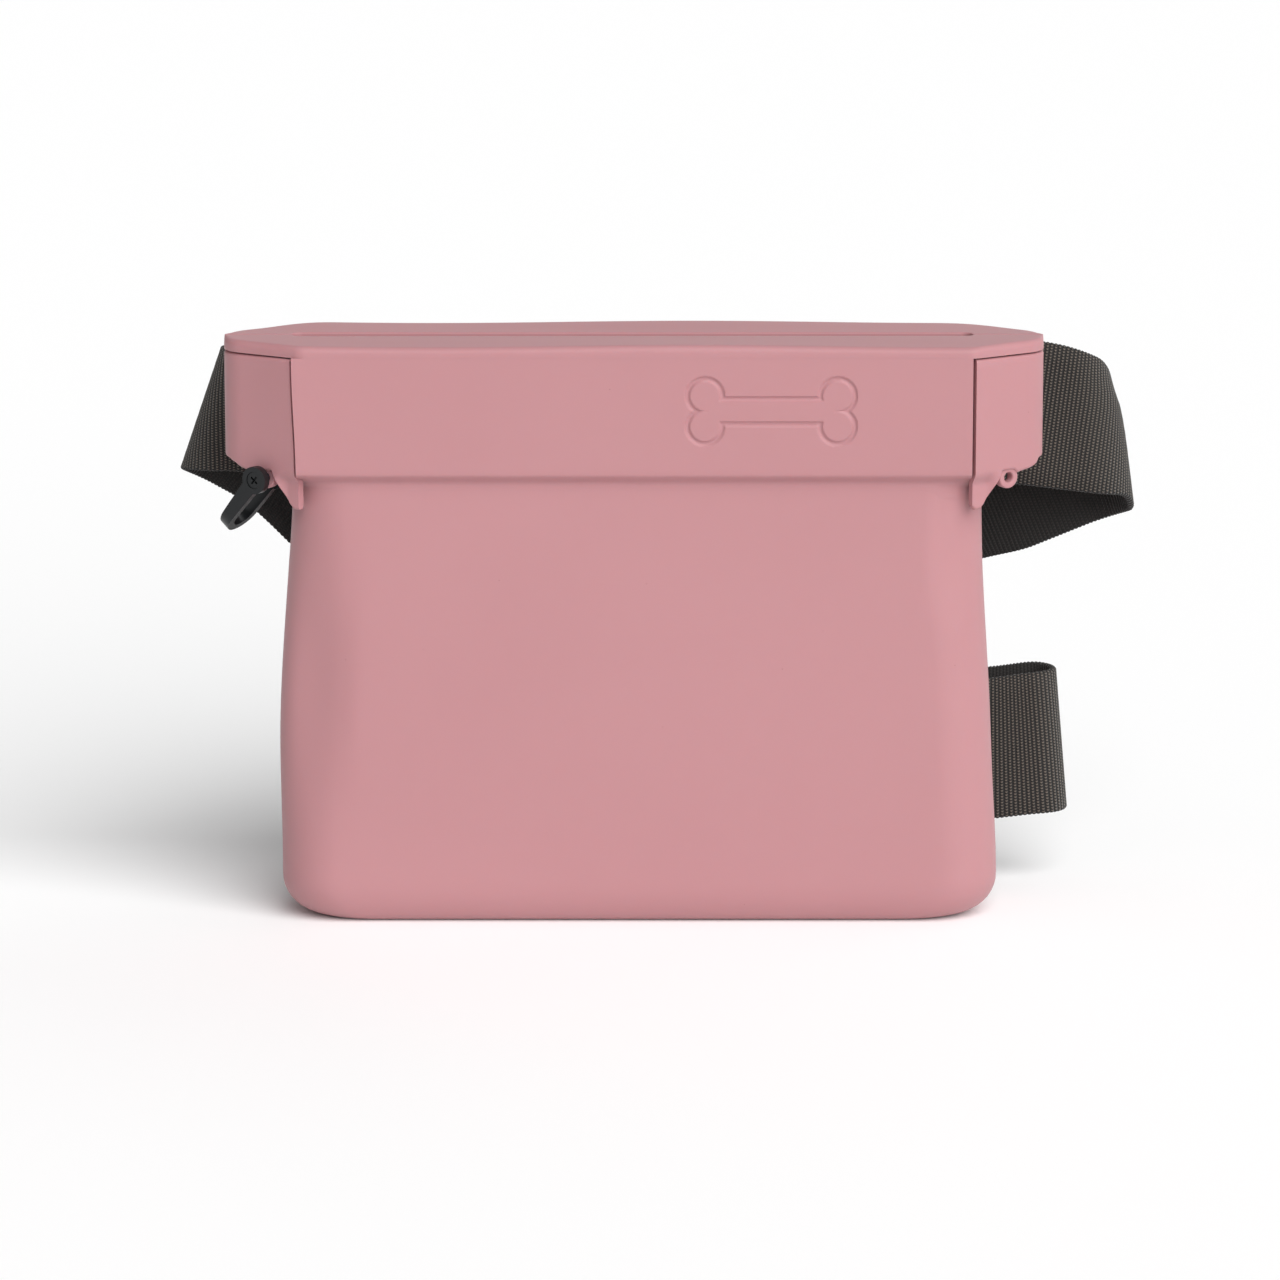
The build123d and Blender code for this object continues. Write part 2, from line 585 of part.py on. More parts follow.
def make_buckle_plug():
    """The male half: a base with the webbing bar, and the centre tongue that guides it home."""
    x_low = PLUG_X + PLUG_STANDOFF
    x_high = PLUG_X + PLUG_BASE_LENGTH
    base = buckle_block(x_low, x_high, BUCKLE_WIDTH / 2, BUCKLE_THICKNESS / 2)
    base = fillet(base.edges().filter_by(Axis.Y).sort_by(Axis.X)[-2:], BUCKLE_CORNER)
    tongue_t = BUCKLE_THICKNESS / 2 - BUCKLE_WALL - BUCKLE_CLEARANCE
    tongue = buckle_block(PLUG_X - PRONG_LENGTH + TONGUE_SHORTER, x_low + 1, TONGUE_WIDTH / 2, tongue_t)
    room = webbing_room(x_low + PLUG_FACE_WALL, x_high + 1)
    return base - room + webbing_bar(PLUG_BAR_X) + tongue


def make_prong(side):
    """One springy arm of the plug, with the head that the thumb presses."""
    half_t = BUCKLE_THICKNESS / 2 - BUCKLE_WALL - BUCKLE_CLEARANCE
    arm_out = BUCKLE_WIDTH / 2 - BUCKLE_WALL - PRONG_SIDE_GAP
    arm_in = arm_out - PRONG_WIDTH
    root_x = PLUG_X + PLUG_STANDOFF - PRONG_ROOT_GAP
    tip_x = PLUG_X - PRONG_LENGTH
    catch_x = tip_x + PRONG_HEAD
    head_out = BUCKLE_WIDTH / 2 + PRONG_PROUD
    head_in = arm_in - PRONG_HEAD_DEEPER
    outline = [
        (root_x, arm_in), (root_x, arm_out), (catch_x + 2.0, arm_out),
        (catch_x + 1.2, head_out), (tip_x + 3.0, head_out), (tip_x, head_out - PRONG_NOSE),
        (tip_x, head_in), (tip_x + 4.0, head_in), (catch_x, arm_in + PRONG_TAPER),
    ]
    face = make_face(Polyline(*[(x, LOWER_Z + side * z) for x, z in outline], close=True))
    return extrude(Plane.XZ.offset(-BUCKLE_Y) * face, half_t, both=True)


def make_belt_plug_run():
    """From the low turn in to the plug's bar, round it, and back as the loose tail."""
    return hairpin(PLUG_BAR_X, -1, LOW_TURN_X - FOLD_JOINT_GAP - BELT_THICKNESS / 2, TAIL_LENGTH)


def make_belt_loop(side):
    """A moulded strap on the back wall that the belt threads through."""
    x_range = (side * LOOP_X - LOOP_WIDTH / 2, side * LOOP_X + LOOP_WIDTH / 2)
    inner_y = UPPER_Y + BELT_THICKNESS / 2 + LOOP_MARGIN
    low_z = BELT_Z - BELT_WIDTH / 2 - LOOP_SEAT_GAP
    high_z = BELT_Z + BELT_WIDTH / 2 + LOOP_TOP_GAP
    top_z = min(high_z + LOOP_WALL, SHELF_Z + LOOP_INTO_LIP)
    outer = block(x_range, (BACK_Y, inner_y + LOOP_WALL), (low_z - LOOP_WALL, top_z))
    outer = fillet(outer.faces().sort_by(Axis.Y)[-1].edges(), LOOP_EDGE_ROUND)
    room = block((x_range[0] - 1, x_range[1] + 1), (BACK_Y - 1, inner_y), (low_z, high_z))
    return outer - room


def make_keeper():
    """A moulded band that holds the tail flat against the belt and slides along both."""
    low_y = LOWER_Y - BELT_THICKNESS / 2 - KEEPER_CLEARANCE
    high_y = LAP_Y + BELT_THICKNESS / 2 + KEEPER_CLEARANCE
    half_z = BELT_WIDTH / 2 + KEEPER_CLEARANCE
    x_range = (KEEPER_X - KEEPER_LENGTH / 2, KEEPER_X + KEEPER_LENGTH / 2)
    outer = block(x_range, (low_y - KEEPER_WALL, high_y + KEEPER_WALL),
                  (LOWER_Z - half_z - KEEPER_WALL, LOWER_Z + half_z + KEEPER_WALL))
    outer = fillet(outer.edges().filter_by(Axis.X), KEEPER_EDGE_ROUND)
    room = block((x_range[0] - 1, x_range[1] + 1), (low_y, high_y),
                 (LOWER_Z - half_z, LOWER_Z + half_z))
    return outer - room


# ---------------------------------------------------------------- all pieces

os.makedirs("parts", exist_ok=True)

PIECES = {
    "bag": make_bag(),
    "front_lip": make_front_lip(),
    "back_lip": make_back_lip(),
    "left_collar_end": make_collar_end(-1),
    "right_collar_end": make_collar_end(1),
    "left_wing": make_wing(-1),
    "right_wing": make_wing(1),
    "left_belt_loop": make_belt_loop(-1),
    "right_belt_loop": make_belt_loop(1),
    "shackle_bow": make_shackle_bow(),
    "shackle_screw": make_shackle_screw(),
    "belt_upper_run": make_belt_upper_run(),
    "belt_right_turn": turn_solid(
        RIGHT_ENTRY, DROOPING, -RIGHT_TURN_TILT, RIGHT_TURN_RADIUS, UPPER_Y, CROSS_Y),
    "belt_cross_run": make_belt_cross_run(),
    "belt_inner_turn": turn_solid(
        INNER_ENTRY, CROSS_HEADING, -INNER_TURN_TILT, INNER_TURN_RADIUS, CROSS_Y, LOWER_Y),
    "belt_socket_end": make_belt_socket_end(),
    "belt_plug_run": make_belt_plug_run(),
    "belt_low_turn": turn_solid(
        Vector(LOW_TURN_X, LOWER_Y, LOWER_Z), TO_RIGHT, 0.0, LOW_TURN_RADIUS, LOWER_Y, RISING_Y),
    "belt_rising_run": make_belt_rising_run(),
    "belt_left_turn": turn_solid(
        LEFT_ENTRY, TO_LEFT, LEFT_TURN_TILT, LEFT_TURN_RADIUS, UPPER_Y, RISING_Y),
    "buckle_socket": make_buckle_socket(),
    "buckle_plug": make_buckle_plug(),
    "upper_prong": make_prong(1),
    "lower_prong": make_prong(-1),
    "tail_keeper": make_keeper(),
}
for front, lip in ((True, "front"), (False, "back")):
    left, right = magnet_boxes(front, 0.0)
    PIECES[lip + "_left_magnet"] = left
    PIECES[lip + "_right_magnet"] = right

for name, shape in PIECES.items():
    export_step(shape, f"parts/{name}.step")
print("lower run centre height", round(LOWER_Z, 2))
print("belt planes", [round(y, 2) for y in (UPPER_Y, LOWER_Y, RISING_Y, CROSS_Y)])
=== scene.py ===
"""A silicone treat pouch on its folded webbing belt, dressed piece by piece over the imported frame.

Lengths are in millimetres and are turned to metres as each mesh is made. The front faces -Y.
"""

import bmesh
import bpy
import numpy as np
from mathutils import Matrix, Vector


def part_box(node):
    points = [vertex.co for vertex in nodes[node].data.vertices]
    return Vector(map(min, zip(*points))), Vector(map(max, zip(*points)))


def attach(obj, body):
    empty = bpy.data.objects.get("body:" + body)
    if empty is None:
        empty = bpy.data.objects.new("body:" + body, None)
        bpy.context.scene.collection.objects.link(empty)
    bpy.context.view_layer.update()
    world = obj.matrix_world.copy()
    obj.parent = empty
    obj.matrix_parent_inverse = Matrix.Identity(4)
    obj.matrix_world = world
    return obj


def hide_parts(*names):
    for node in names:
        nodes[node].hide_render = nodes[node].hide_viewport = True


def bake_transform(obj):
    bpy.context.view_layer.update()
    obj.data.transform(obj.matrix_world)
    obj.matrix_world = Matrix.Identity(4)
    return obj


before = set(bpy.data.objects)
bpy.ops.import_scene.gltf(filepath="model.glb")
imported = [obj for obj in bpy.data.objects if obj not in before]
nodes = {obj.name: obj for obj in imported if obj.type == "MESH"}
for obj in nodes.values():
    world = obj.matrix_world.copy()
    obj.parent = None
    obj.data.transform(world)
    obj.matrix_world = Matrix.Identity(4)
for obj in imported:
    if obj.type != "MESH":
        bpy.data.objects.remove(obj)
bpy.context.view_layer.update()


# ---------------------------------------------------------------- the pocket
# The pocket that holds the treats is one silicone rubber moulding about 2 mm thick, soft enough to
# bow and dent where it is handled. Its base edge is rounded and its mouth disappears in the collar.

POCKET_HALF_WIDTH = 91.2
POCKET_WAIST = 3.6
POCKET_HALF_DEPTH = 18.3
POCKET_TOP_HALF_DEPTH = 16.0
POCKET_TOP = 115.6
POCKET_WALL = 2.0
CORNER_X = 15.0
CORNER_Y = 13.0
BASE_EDGE_X = 11.5
BASE_EDGE_Y = 7.0
BASE_EDGE_Z = 11.0
BASE_CORNER_CUT = 3.0
BROAD_STATIONS = 90
NARROW_STATIONS = 8
CORNER_STATIONS = 20
EDGE_STATIONS = 12
WALL_STATIONS = 61
FRONT_BOW = 1.3
BOW_HALF_WIDTH = 88.0
RIPPLE_DEPTH = 0.22
RIPPLE_PERIOD_X = 13.0
RIPPLE_PERIOD_Z = 31.0
DENT_DEPTH = 2.6
LEFT_DENT_X = -82.0
LEFT_DENT_Z = 62.0
DENT_SLANT = 0.05
RIGHT_DENT_SHARE = 0.6
RIGHT_DENT_X = 82.0
RIGHT_DENT_Z = 96.0
SWAY = 0.5
BASE_SPREAD = 1.3
SIDES_START = 60.0
CORNER_DROP_LIMIT = 0.86
MOUTH_LIP_RISE = 0.9


def ease(low, high, value):
    """A smooth rise from 0 at low to 1 at high: 3 t^2 - 2 t^3, with t clipped to 0..1."""
    t = np.clip((value - low) / (high - low), 0.0, 1.0)
    return t * t * (3.0 - 2.0 * t)


def hill(centre, reach, value):
    """A smooth bump of height 1 at centre that is gone at centre plus or minus reach."""
    return 1.0 - ease(0.0, reach, np.abs(value - centre))


def make_piece(name, rings, uv=None, crease=40.0):
    """A closed skin over rings of points, an array (rings, around, xyz) in millimetres.

    Each ring joins the next one by quads, and a fan to its own middle closes the first and last.
    """
    count, around = rings.shape[:2]
    ends = np.stack([rings[0].mean(axis=0), rings[-1].mean(axis=0)])
    spots = np.concatenate([rings.reshape(-1, 3), ends]) * 0.001
    here = np.arange(around)
    after = (here + 1) % around
    start = (np.arange(count - 1) * around)[:, None]
    sides = np.stack([start + here, start + after, start + around + after, start + around + here],
                     axis=-1).reshape(-1, 4)
    last = (count - 1) * around
    first_fan = np.stack([after, here, np.full(around, count * around)], axis=-1)
    last_fan = np.stack([last + here, last + after, np.full(around, count * around + 1)], axis=-1)
    corners = np.concatenate([sides.ravel(), first_fan.ravel(), last_fan.ravel()]).astype(np.int32)
    sizes = np.concatenate([np.full(len(sides), 4), np.full(2 * around, 3)])
    starts = np.concatenate([[0], np.cumsum(sizes)[:-1]]).astype(np.int32)
    mesh = bpy.data.meshes.new(name)
    mesh.vertices.add(len(spots))
    mesh.vertices.foreach_set("co", spots.ravel())
    mesh.loops.add(len(corners))
    mesh.loops.foreach_set("vertex_index", corners)
    mesh.polygons.add(len(sizes))
    mesh.polygons.foreach_set("loop_start", starts)
    mesh.update(calc_edges=True)
    if uv is not None:
        layer = mesh.uv_layers.new(name="flat")
        flat = np.concatenate([uv.reshape(-1, 2), [uv[0].mean(axis=0), uv[-1].mean(axis=0)]])
        values = flat[corners]
        wrapped = np.arange(len(sides)) % around == around - 1
        side_values = values[:len(sides) * 4].reshape(-1, 4, 2)
        side_values[wrapped, 1:3, 1] += 1.0
        layer.data.foreach_set("uv", values.ravel())
    work = bmesh.new()
    work.from_mesh(mesh)
    bmesh.ops.remove_doubles(work, verts=work.verts, dist=1e-7)
    bmesh.ops.recalc_face_normals(work, faces=work.faces)
    work.to_mesh(mesh)
    work.free()
    mesh.shade_smooth()
    mesh.set_sharp_from_angle(angle=np.radians(crease))
    piece = bpy.data.objects.new(name, mesh)
    bpy.context.scene.collection.objects.link(piece)
    return piece


def pocket_ring():
    """Four arrays a, b, c, d that place a ring round a box with quarter-ellipse corners.

    A point is (a (W - rx) + c rx, b (D - ry) + d ry) for half width W, half depth D and corner
    radii rx, ry; a, b pick the box corner and c, d turn round it.
    """
    along = np.linspace(-1.0, 1.0, BROAD_STATIONS, endpoint=False)
    short = np.linspace(-1.0, 1.0, NARROW_STATIONS, endpoint=False)
    bend = np.linspace(0.0, np.pi / 2, CORNER_STATIONS, endpoint=False)
    parts = []
    for quarter, (side_x, side_y) in enumerate(((1, -1), (1, 1), (-1, 1), (-1, -1))):
        angle = bend + (quarter - 1) * np.pi / 2
        flat = along if quarter % 2 == 0 else short
        sense = 1 if quarter < 2 else -1
        one = np.ones_like(flat)
        if quarter % 2 == 0:
            parts.append((sense * flat, side_y * one, 0 * one, side_y * one))
        else:
            parts.append((side_x * one, sense * flat, side_x * one, 0 * one))
        one = np.ones_like(angle)
        parts.append((side_x * one, side_y * one, np.cos(angle), np.sin(angle)))
    return [np.concatenate(column) for column in zip(*parts)]


def soften_pocket(points):
    """Bows the broad faces out, dents the corners and lets the sides sway, as soft rubber does.

    Each part is an amplitude times ease and hill terms, so all of it fades towards base and mouth.
    """
    x, y, z = points[..., 0], points[..., 1], points[..., 2]
    middle = ease(2.0, 45.0, z) * (1.0 - ease(70.0, 113.0, z))
    face = np.sign(y) * ease(4.0, 15.0, np.abs(y))
    bow = FRONT_BOW * middle * (1.0 - ease(10.0, BOW_HALF_WIDTH, np.abs(x)))
    ripple = RIPPLE_DEPTH * middle * np.sin(x / RIPPLE_PERIOD_X + 0.7)
    ripple = ripple * np.sin(z / RIPPLE_PERIOD_Z + x / 60.0)
    left_line = x - DENT_SLANT * (z - 60.0)
    left_dent = DENT_DEPTH * hill(LEFT_DENT_X, 12.0, left_line) * hill(LEFT_DENT_Z, 50.0, z)
    right_dent = RIGHT_DENT_SHARE * DENT_DEPTH * hill(RIGHT_DENT_X, 10.0, x)
    right_dent = right_dent * hill(RIGHT_DENT_Z, 22.0, z)
    moved = points.copy()
    moved[..., 1] = y + face * (bow + ripple - (left_dent + right_dent))
    sway = SWAY * np.sin((z - 20.0) / 30.0) * ease(8.0, 30.0, z) * (1.0 - ease(90.0, 113.0, z))
    spread = BASE_SPREAD * ease(SIDES_START, BOW_HALF_WIDTH, x) * (1.0 - ease(6.0, 50.0, z))
    moved[..., 0] = x - sway * ease(SIDES_START, BOW_HALF_WIDTH, np.abs(x)) + spread
    return moved


def pocket_half_depth(z):
    """Half the pocket's depth, front to back, at height z: a straight taper."""
    return POCKET_HALF_DEPTH + (POCKET_TOP_HALF_DEPTH - POCKET_HALF_DEPTH) * z / POCKET_TOP


def corner_drop(x):
    """How far the pocket's face falls back at its upper corners: the sag of a quarter ellipse."""
    past_face = np.abs(x) - (POCKET_HALF_WIDTH - POCKET_WAIST - CORNER_X)
    reach = np.clip(past_face / CORNER_X, 0.0, CORNER_DROP_LIMIT)
    return CORNER_Y * (1.0 - np.sqrt(1.0 - reach ** 2))


def pocket_rings(inset, floor):
    """The pocket's skin from the middle of its base up to its mouth, drawn in by inset."""
    a, b, c, d = pocket_ring()
    share = np.array([0.03, 0.3, 0.6, 0.85])
    base = np.ones_like(share)
    turn = np.linspace(0.0, np.pi / 2, EDGE_STATIONS)
    climb = np.linspace(0.0, 1.0, WALL_STATIONS + 1)[1:]
    edge_z = floor + BASE_EDGE_Z * (1.0 - np.cos(turn))
    wall_z = edge_z[-1] + (POCKET_TOP - edge_z[-1]) * climb
    height = np.concatenate([floor * base, edge_z, wall_z])
    width = POCKET_HALF_WIDTH - POCKET_WAIST * ease(40.0, 116.0, height) - inset
    depth = pocket_half_depth(height) - inset
    draw = np.concatenate([base, 1.0 - np.sin(turn), np.zeros_like(climb)])
    width = width - BASE_EDGE_X * draw
    depth = depth - BASE_EDGE_Y * draw
    scale = np.concatenate([share, np.ones(len(height) - len(share))])
    corner_x = (CORNER_X - inset) * scale
    corner_y = (CORNER_Y - inset - BASE_CORNER_CUT * draw) * scale
    width, depth = width * scale, depth * scale
    x = a * (width - corner_x)[:, None] + c * corner_x[:, None]
    y = b * (depth - corner_y)[:, None] + d * corner_y[:, None]
    z = np.broadcast_to(height[:, None], x.shape)
    return soften_pocket(np.stack([x, y, z], axis=-1))


outside = pocket_rings(0.0, 0.0)
inside = pocket_rings(POCKET_WALL, POCKET_WALL)[::-1]
mouth_lip = 0.5 * (outside[-1] + inside[0]) + np.array([0.0, 0.0, MOUTH_LIP_RISE])
pocket = make_piece("pocket", np.concatenate([outside, mouth_lip[None], inside]))
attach(pocket, "pouch")
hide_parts("bag")


def linear(colour):
    """An sRGB hex colour as linear red, green, blue and alpha."""
    parts = [int(colour[k:k + 2], 16) / 255.0 for k in (1, 3, 5)]
    parts = [v / 12.92 if v <= 0.04045 else ((v + 0.055) / 1.055) ** 2.4 for v in parts]
    return (*parts, 1.0)


def add(tree, kind, inputs=None, **settings):
    """Adds one node: its settings, then its inputs, each a plain value or an output to link."""
    made = tree.nodes.new(kind)
    for key, value in settings.items():
        setattr(made, key, value)
    for key, value in (inputs or {}).items():
        if isinstance(value, bpy.types.NodeSocket):
            tree.links.new(value, made.inputs[key])
        else:
            made.inputs[key].default_value = value
    return made


def new_material(name):
    """An empty material with its output, as (material, tree, output)."""
    material = bpy.data.materials.new(name)
    material.use_nodes = True
    tree = material.node_tree
    tree.nodes.clear()
    return material, tree, add(tree, "ShaderNodeOutputMaterial")


# Silicone rubber, moulded against a fine blasted tool: a dry, matte dusty pink with a faint bloom at
# grazing angles, very slight clouding in the pigment, and a few specks of dust that it attracts.
SILICONE_PINK = "#b17f83"
SILICONE_CLOUD = "#ad7b7f"
DUST = "#8f6467"
CLOUD_SIZE = 45.0
GRAIN_SIZE = 0.35
DUST_SPACING = 9.0

silicone, tree, output = new_material("silicone_blasted_matte")
place = add(tree, "ShaderNodeTexCoord").outputs["Object"]
cloud = add(tree, "ShaderNodeTexNoise", {"Vector": place, "Scale": 1000.0 / CLOUD_SIZE, "Detail": 3.0})
tint = add(tree, "ShaderNodeMix", {"Factor": cloud.outputs["Fac"], "A": linear(SILICONE_PINK),
                                   "B": linear(SILICONE_CLOUD)}, data_type="RGBA")
specks = add(tree, "ShaderNodeTexVoronoi", {"Vector": place, "Scale": 1000.0 / DUST_SPACING})
speck = add(tree, "ShaderNodeMapRange", {"Value": specks.outputs["Distance"], "From Min": 0.012,
                                         "From Max": 0.022, "To Min": 0.7, "To Max": 0.0})
dusty = add(tree, "ShaderNodeMix", {"Factor": speck.outputs["Result"], "A": tint.outputs["Result"],
                                    "B": linear(DUST)}, data_type="RGBA")
grain = add(tree, "ShaderNodeTexNoise", {"Vector": place, "Scale": 1000.0 / GRAIN_SIZE, "Detail": 2.0})
bump = add(tree, "ShaderNodeBump", {"Height": grain.outputs["Fac"], "Strength": 0.12,
                                    "Distance": 0.00006})
skin = add(tree, "ShaderNodeBsdfPrincipled", {
    "Base Color": dusty.outputs["Result"], "Roughness": 0.52, "IOR": 1.41,
    "Normal": bump.outputs["Normal"], "Sheen Weight": 0.05, "Sheen Roughness": 0.5,
    "Subsurface Weight": 0.10, "Subsurface Scale": 0.0012})
tree.links.new(skin.outputs["BSDF"], output.inputs["Surface"])
pocket.data.materials.append(silicone)


# ---------------------------------------------------------------- the two lips
# The collar's top is a thick flange cut in two along a seam, with the mouth slot in its middle.
# The front half hangs on the flat front band, which bends where it steps back into the pocket.

LEFT_END = -104.7
RIGHT_END = 103.1
COLLAR_CORNERS = ((-85.0, -18.4), (85.0, -18.4), (RIGHT_END, -6.5), (RIGHT_END, 6.5),
                  (85.0, 18.4), (-85.0, 18.4), (LEFT_END, 6.5), (LEFT_END, -6.5))
COLLAR_CORNER_RADII = (6.0, 6.0, 9.0, 11.0, 30.0, 30.0, 11.0, 9.0)
RIM_Z = 150.0
SHELF_Z = 147.0
SEAM_Y = 1.2
SEAM_HALF_GAP = 0.12
SLOT_CENTRE_X = -1.2
SLOT_HALF_LENGTH = 86.6
SLOT_HALF_WIDTH = 2.7
SKIRT_DEPTH = 6.0
SKIRT_WALL = 1.8
SKIRT_HALF_LENGTH = 82.0
RIM_ROUND = 1.7
SLOT_ROUND = 0.45
SLOT_FRONT_BOW = 0.5
WAVE_HEIGHT = 0.3
WAVE_PERIOD = 21.0
BACK_RISE = 0.6
LIP_STATIONS = 520


def rounded_outline(corners, radii):
    """A closed outline with an arc at each corner, as dense points, outward normals and lengths.

    At each corner the normal turns evenly from one edge's to the next one's, and the point is the
    arc's centre plus radius times that normal. The corners go round anticlockwise.
    """
    points, normals = [], []
    for k, radius in enumerate(radii):
        before, here, after = (np.array(corners[i % len(corners)]) for i in (k - 1, k, k + 1))
        u = (here - before) / np.linalg.norm(here - before)
        v = (after - here) / np.linalg.norm(after - here)
        turn = np.arccos(np.clip(u @ v, -1.0, 1.0))
        cut = radius * np.tan(turn / 2)
        centre = here - u * cut + radius * np.array([-u[1], u[0]])
        start = np.arctan2(-u[0], u[1])
        angle = start + np.linspace(0.0, turn, 12)
        normal = np.stack([np.cos(angle), np.sin(angle)], axis=-1)
        points.append(centre + radius * normal)
        normals.append(normal)
    points = np.concatenate(points + [points[0][:1]])
    normals = np.concatenate(normals + [normals[0][:1]])
    lengths = np.concatenate([[0.0], np.cumsum(np.linalg.norm(np.diff(points, axis=0), axis=1))])
    return points, normals, lengths


outline, outline_normals, outline_lengths = rounded_outline(COLLAR_CORNERS, COLLAR_CORNER_RADII)
OUTLINE_LENGTH = outline_lengths[-1]


def on_outline(run):
    """Points and outward normals of the collar's outline at distances round it."""
    run = np.mod(run, OUTLINE_LENGTH)
    point = np.stack([np.interp(run, outline_lengths, outline[:, k]) for k in (0, 1)], axis=-1)
    normal = np.stack([np.interp(run, outline_lengths, outline_normals[:, k]) for k in (0, 1)], axis=-1)
    return point, normal / np.linalg.norm(normal, axis=-1, keepdims=True)


def outline_run(x, y):
    """The distance round the outline to the point nearest (x, y)."""
    run = np.linspace(0.0, OUTLINE_LENGTH, 20001)
    point, _ = on_outline(run)
    return run[np.argmin(np.hypot(point[:, 0] - x, point[:, 1] - y))]


def lip_wave(x, y):
    """The slight waves of the flange, larger at its outer edges, and the rise of its back edge."""
    reach = ease(4.0, 18.0, np.abs(y)) * (1.0 - ease(80.0, 100.0, np.abs(x)))
    return reach * (WAVE_HEIGHT * np.sin(x / WAVE_PERIOD + 0.9) + BACK_RISE * (y > 0.0))


def slot_edge(x, front):
    """Depth of the seam or slot edge at x: a straight seam that opens into a slot with round ends."""
    side = -1.0 if front else 1.0
    reach = np.abs(x - SLOT_CENTRE_X) - (SLOT_HALF_LENGTH - SLOT_HALF_WIDTH)
    end = np.clip(reach / SLOT_HALF_WIDTH, 0.0, 1.0)
    half = SLOT_HALF_WIDTH * np.sqrt(np.clip(1.0 - end ** 2, 0.0, 1.0))
    bow = SLOT_FRONT_BOW * ease(-84.0, 60.0, x) * ease(1.0, 2.6, half) if front else 0.0
    return SEAM_Y + side * (np.maximum(half, SEAM_HALF_GAP) - bow)


def lip_rings(front):
    """Sections across one half of the flange, from the slot's edge out to the collar's outline.

    Each section is a ring in (share of the way out, height): down the slot's skirt, along the
    underside, up the rounded outer edge and back over the top.
    """
    side = -1.0 if front else 1.0
    left = outline_run(LEFT_END, SEAM_Y + side * SEAM_HALF_GAP)
    right = outline_run(RIGHT_END, SEAM_Y + side * SEAM_HALF_GAP)
    if front:
        right += OUTLINE_LENGTH
    run = np.linspace(left, right, LIP_STATIONS)
    outer, _ = on_outline(run)
    distance = np.concatenate([[0.0], np.cumsum(np.linalg.norm(np.diff(outer, axis=0), axis=1))])
    slot_ends = SLOT_CENTRE_X + np.array([-SLOT_HALF_LENGTH, SLOT_HALF_LENGTH])
    tips = np.interp(slot_ends, outer[:, 0], distance)
    inner_x = outer[:, 0].copy()
    before, after = distance < tips[0], distance > tips[1]
    inner_x[before] = LEFT_END + (slot_ends[0] - LEFT_END) * distance[before] / tips[0]
    inner_x[after] = RIGHT_END - (RIGHT_END - slot_ends[1]) * (distance[-1] - distance[after]) / (
        distance[-1] - tips[1])
    inner = np.stack([inner_x, slot_edge(inner_x, front)], axis=-1)
    width = np.linalg.norm(outer - inner, axis=1)
    outward = (outer - inner) / np.maximum(width, 1e-6)[:, None]
    skirt = np.where(np.abs(inner_x) < SKIRT_HALF_LENGTH, SKIRT_DEPTH, 0.0)
    wall = np.minimum(SKIRT_WALL, 0.5 * width)
    round_out = np.minimum(RIM_ROUND, 0.45 * width)
    round_in = np.minimum(SLOT_ROUND, 0.3 * width)
    turn = np.linspace(0.0, np.pi / 2, 9)
    out, height = [], []
    for share in (0.0, 0.5, 1.0):
        out.append(0.0 * width)
        height.append(SHELF_Z - skirt * share)
    out.append(wall)
    height.append(SHELF_Z - skirt)
    out.append(wall)
    height.append(np.full_like(width, SHELF_Z))
    out.append(width)
    height.append(np.full_like(width, SHELF_Z))
    for angle in turn:
        out.append(width - round_out * (1.0 - np.cos(angle)))
        height.append(RIM_Z - round_out * (1.0 - np.sin(angle)))
    for share in (0.15, 0.3, 0.45, 0.6, 0.75, 0.9):
        out.append((width - round_out) * (1.0 - share) + round_in * share)
        height.append(np.full_like(width, RIM_Z))
    for angle in turn[::-2]:
        out.append(round_in * (1.0 - np.cos(angle)))
        height.append(RIM_Z - round_in * (1.0 - np.sin(angle)))
    out, height = np.stack(out, axis=1), np.stack(height, axis=1)
    flat = inner[:, None] + outward[:, None] * out[..., None]
    wave = lip_wave(flat[..., 0], flat[..., 1]) * ease(SHELF_Z + 0.5, RIM_Z, height)
    return np.concatenate([flat, (height + wave)[..., None]], axis=-1)


front_flange = make_piece("front_flange", lip_rings(True))
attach(front_flange, "front_lip")
back_flange = make_piece("back_flange", lip_rings(False))
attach(back_flange, "pouch")
for piece in (front_flange, back_flange):
    piece.data.materials.append(silicone)

# The front band is a flat wall under the flange. Its face steps back in a soft S at the bottom and
# runs into the pocket's front, where the rubber is thin enough to hinge. A bone's outline is cut in
# its face as a fine groove.
BAND_LEFT = -86.0
BAND_RIGHT = 84.5
SLIT_DRAW = 0.9
BAND_FRONT_Y = -18.4
BAND_WALL = 2.2
STEP_TOP = 117.4
STEP_BOTTOM = 114.4
CORNER_BLEND_BOTTOM = 112.9
BACK_STEP_SHARE = 0.6
BACK_STEP_LIMIT = 1.0
FEATHER_BOTTOM = 110.6
FEATHER_TOP = 113.4
FEATHER_SINK = 0.16
FEATHER_PROUD = 0.02
BONE_CENTRE = (33.8, 133.6)
BONE_HALF_SHAFT = 13.5
BONE_SHAFT_RADIUS = 3.2
BONE_KNOB_RADIUS = 4.4
BONE_KNOB_SPREAD = 3.9
GROOVE_HALF_WIDTH = 0.5
GROOVE_EDGE = 0.25
GROOVE_DEPTH = 0.5
BONE_REACH = 24.0
SLIT_DRAW_REACH = 13.0


def step_back(z):
    """How far the collar's face has stepped in at height z.

    It eases down to just proud of the pocket's face, and its last edge dips under that face.
    """
    fall = -BAND_FRONT_Y - pocket_half_depth(z) - FEATHER_PROUD
    sink = FEATHER_SINK * (1.0 - ease(FEATHER_BOTTOM, FEATHER_TOP, z))
    return fall * (1.0 - ease(STEP_BOTTOM, STEP_TOP, z)) + sink


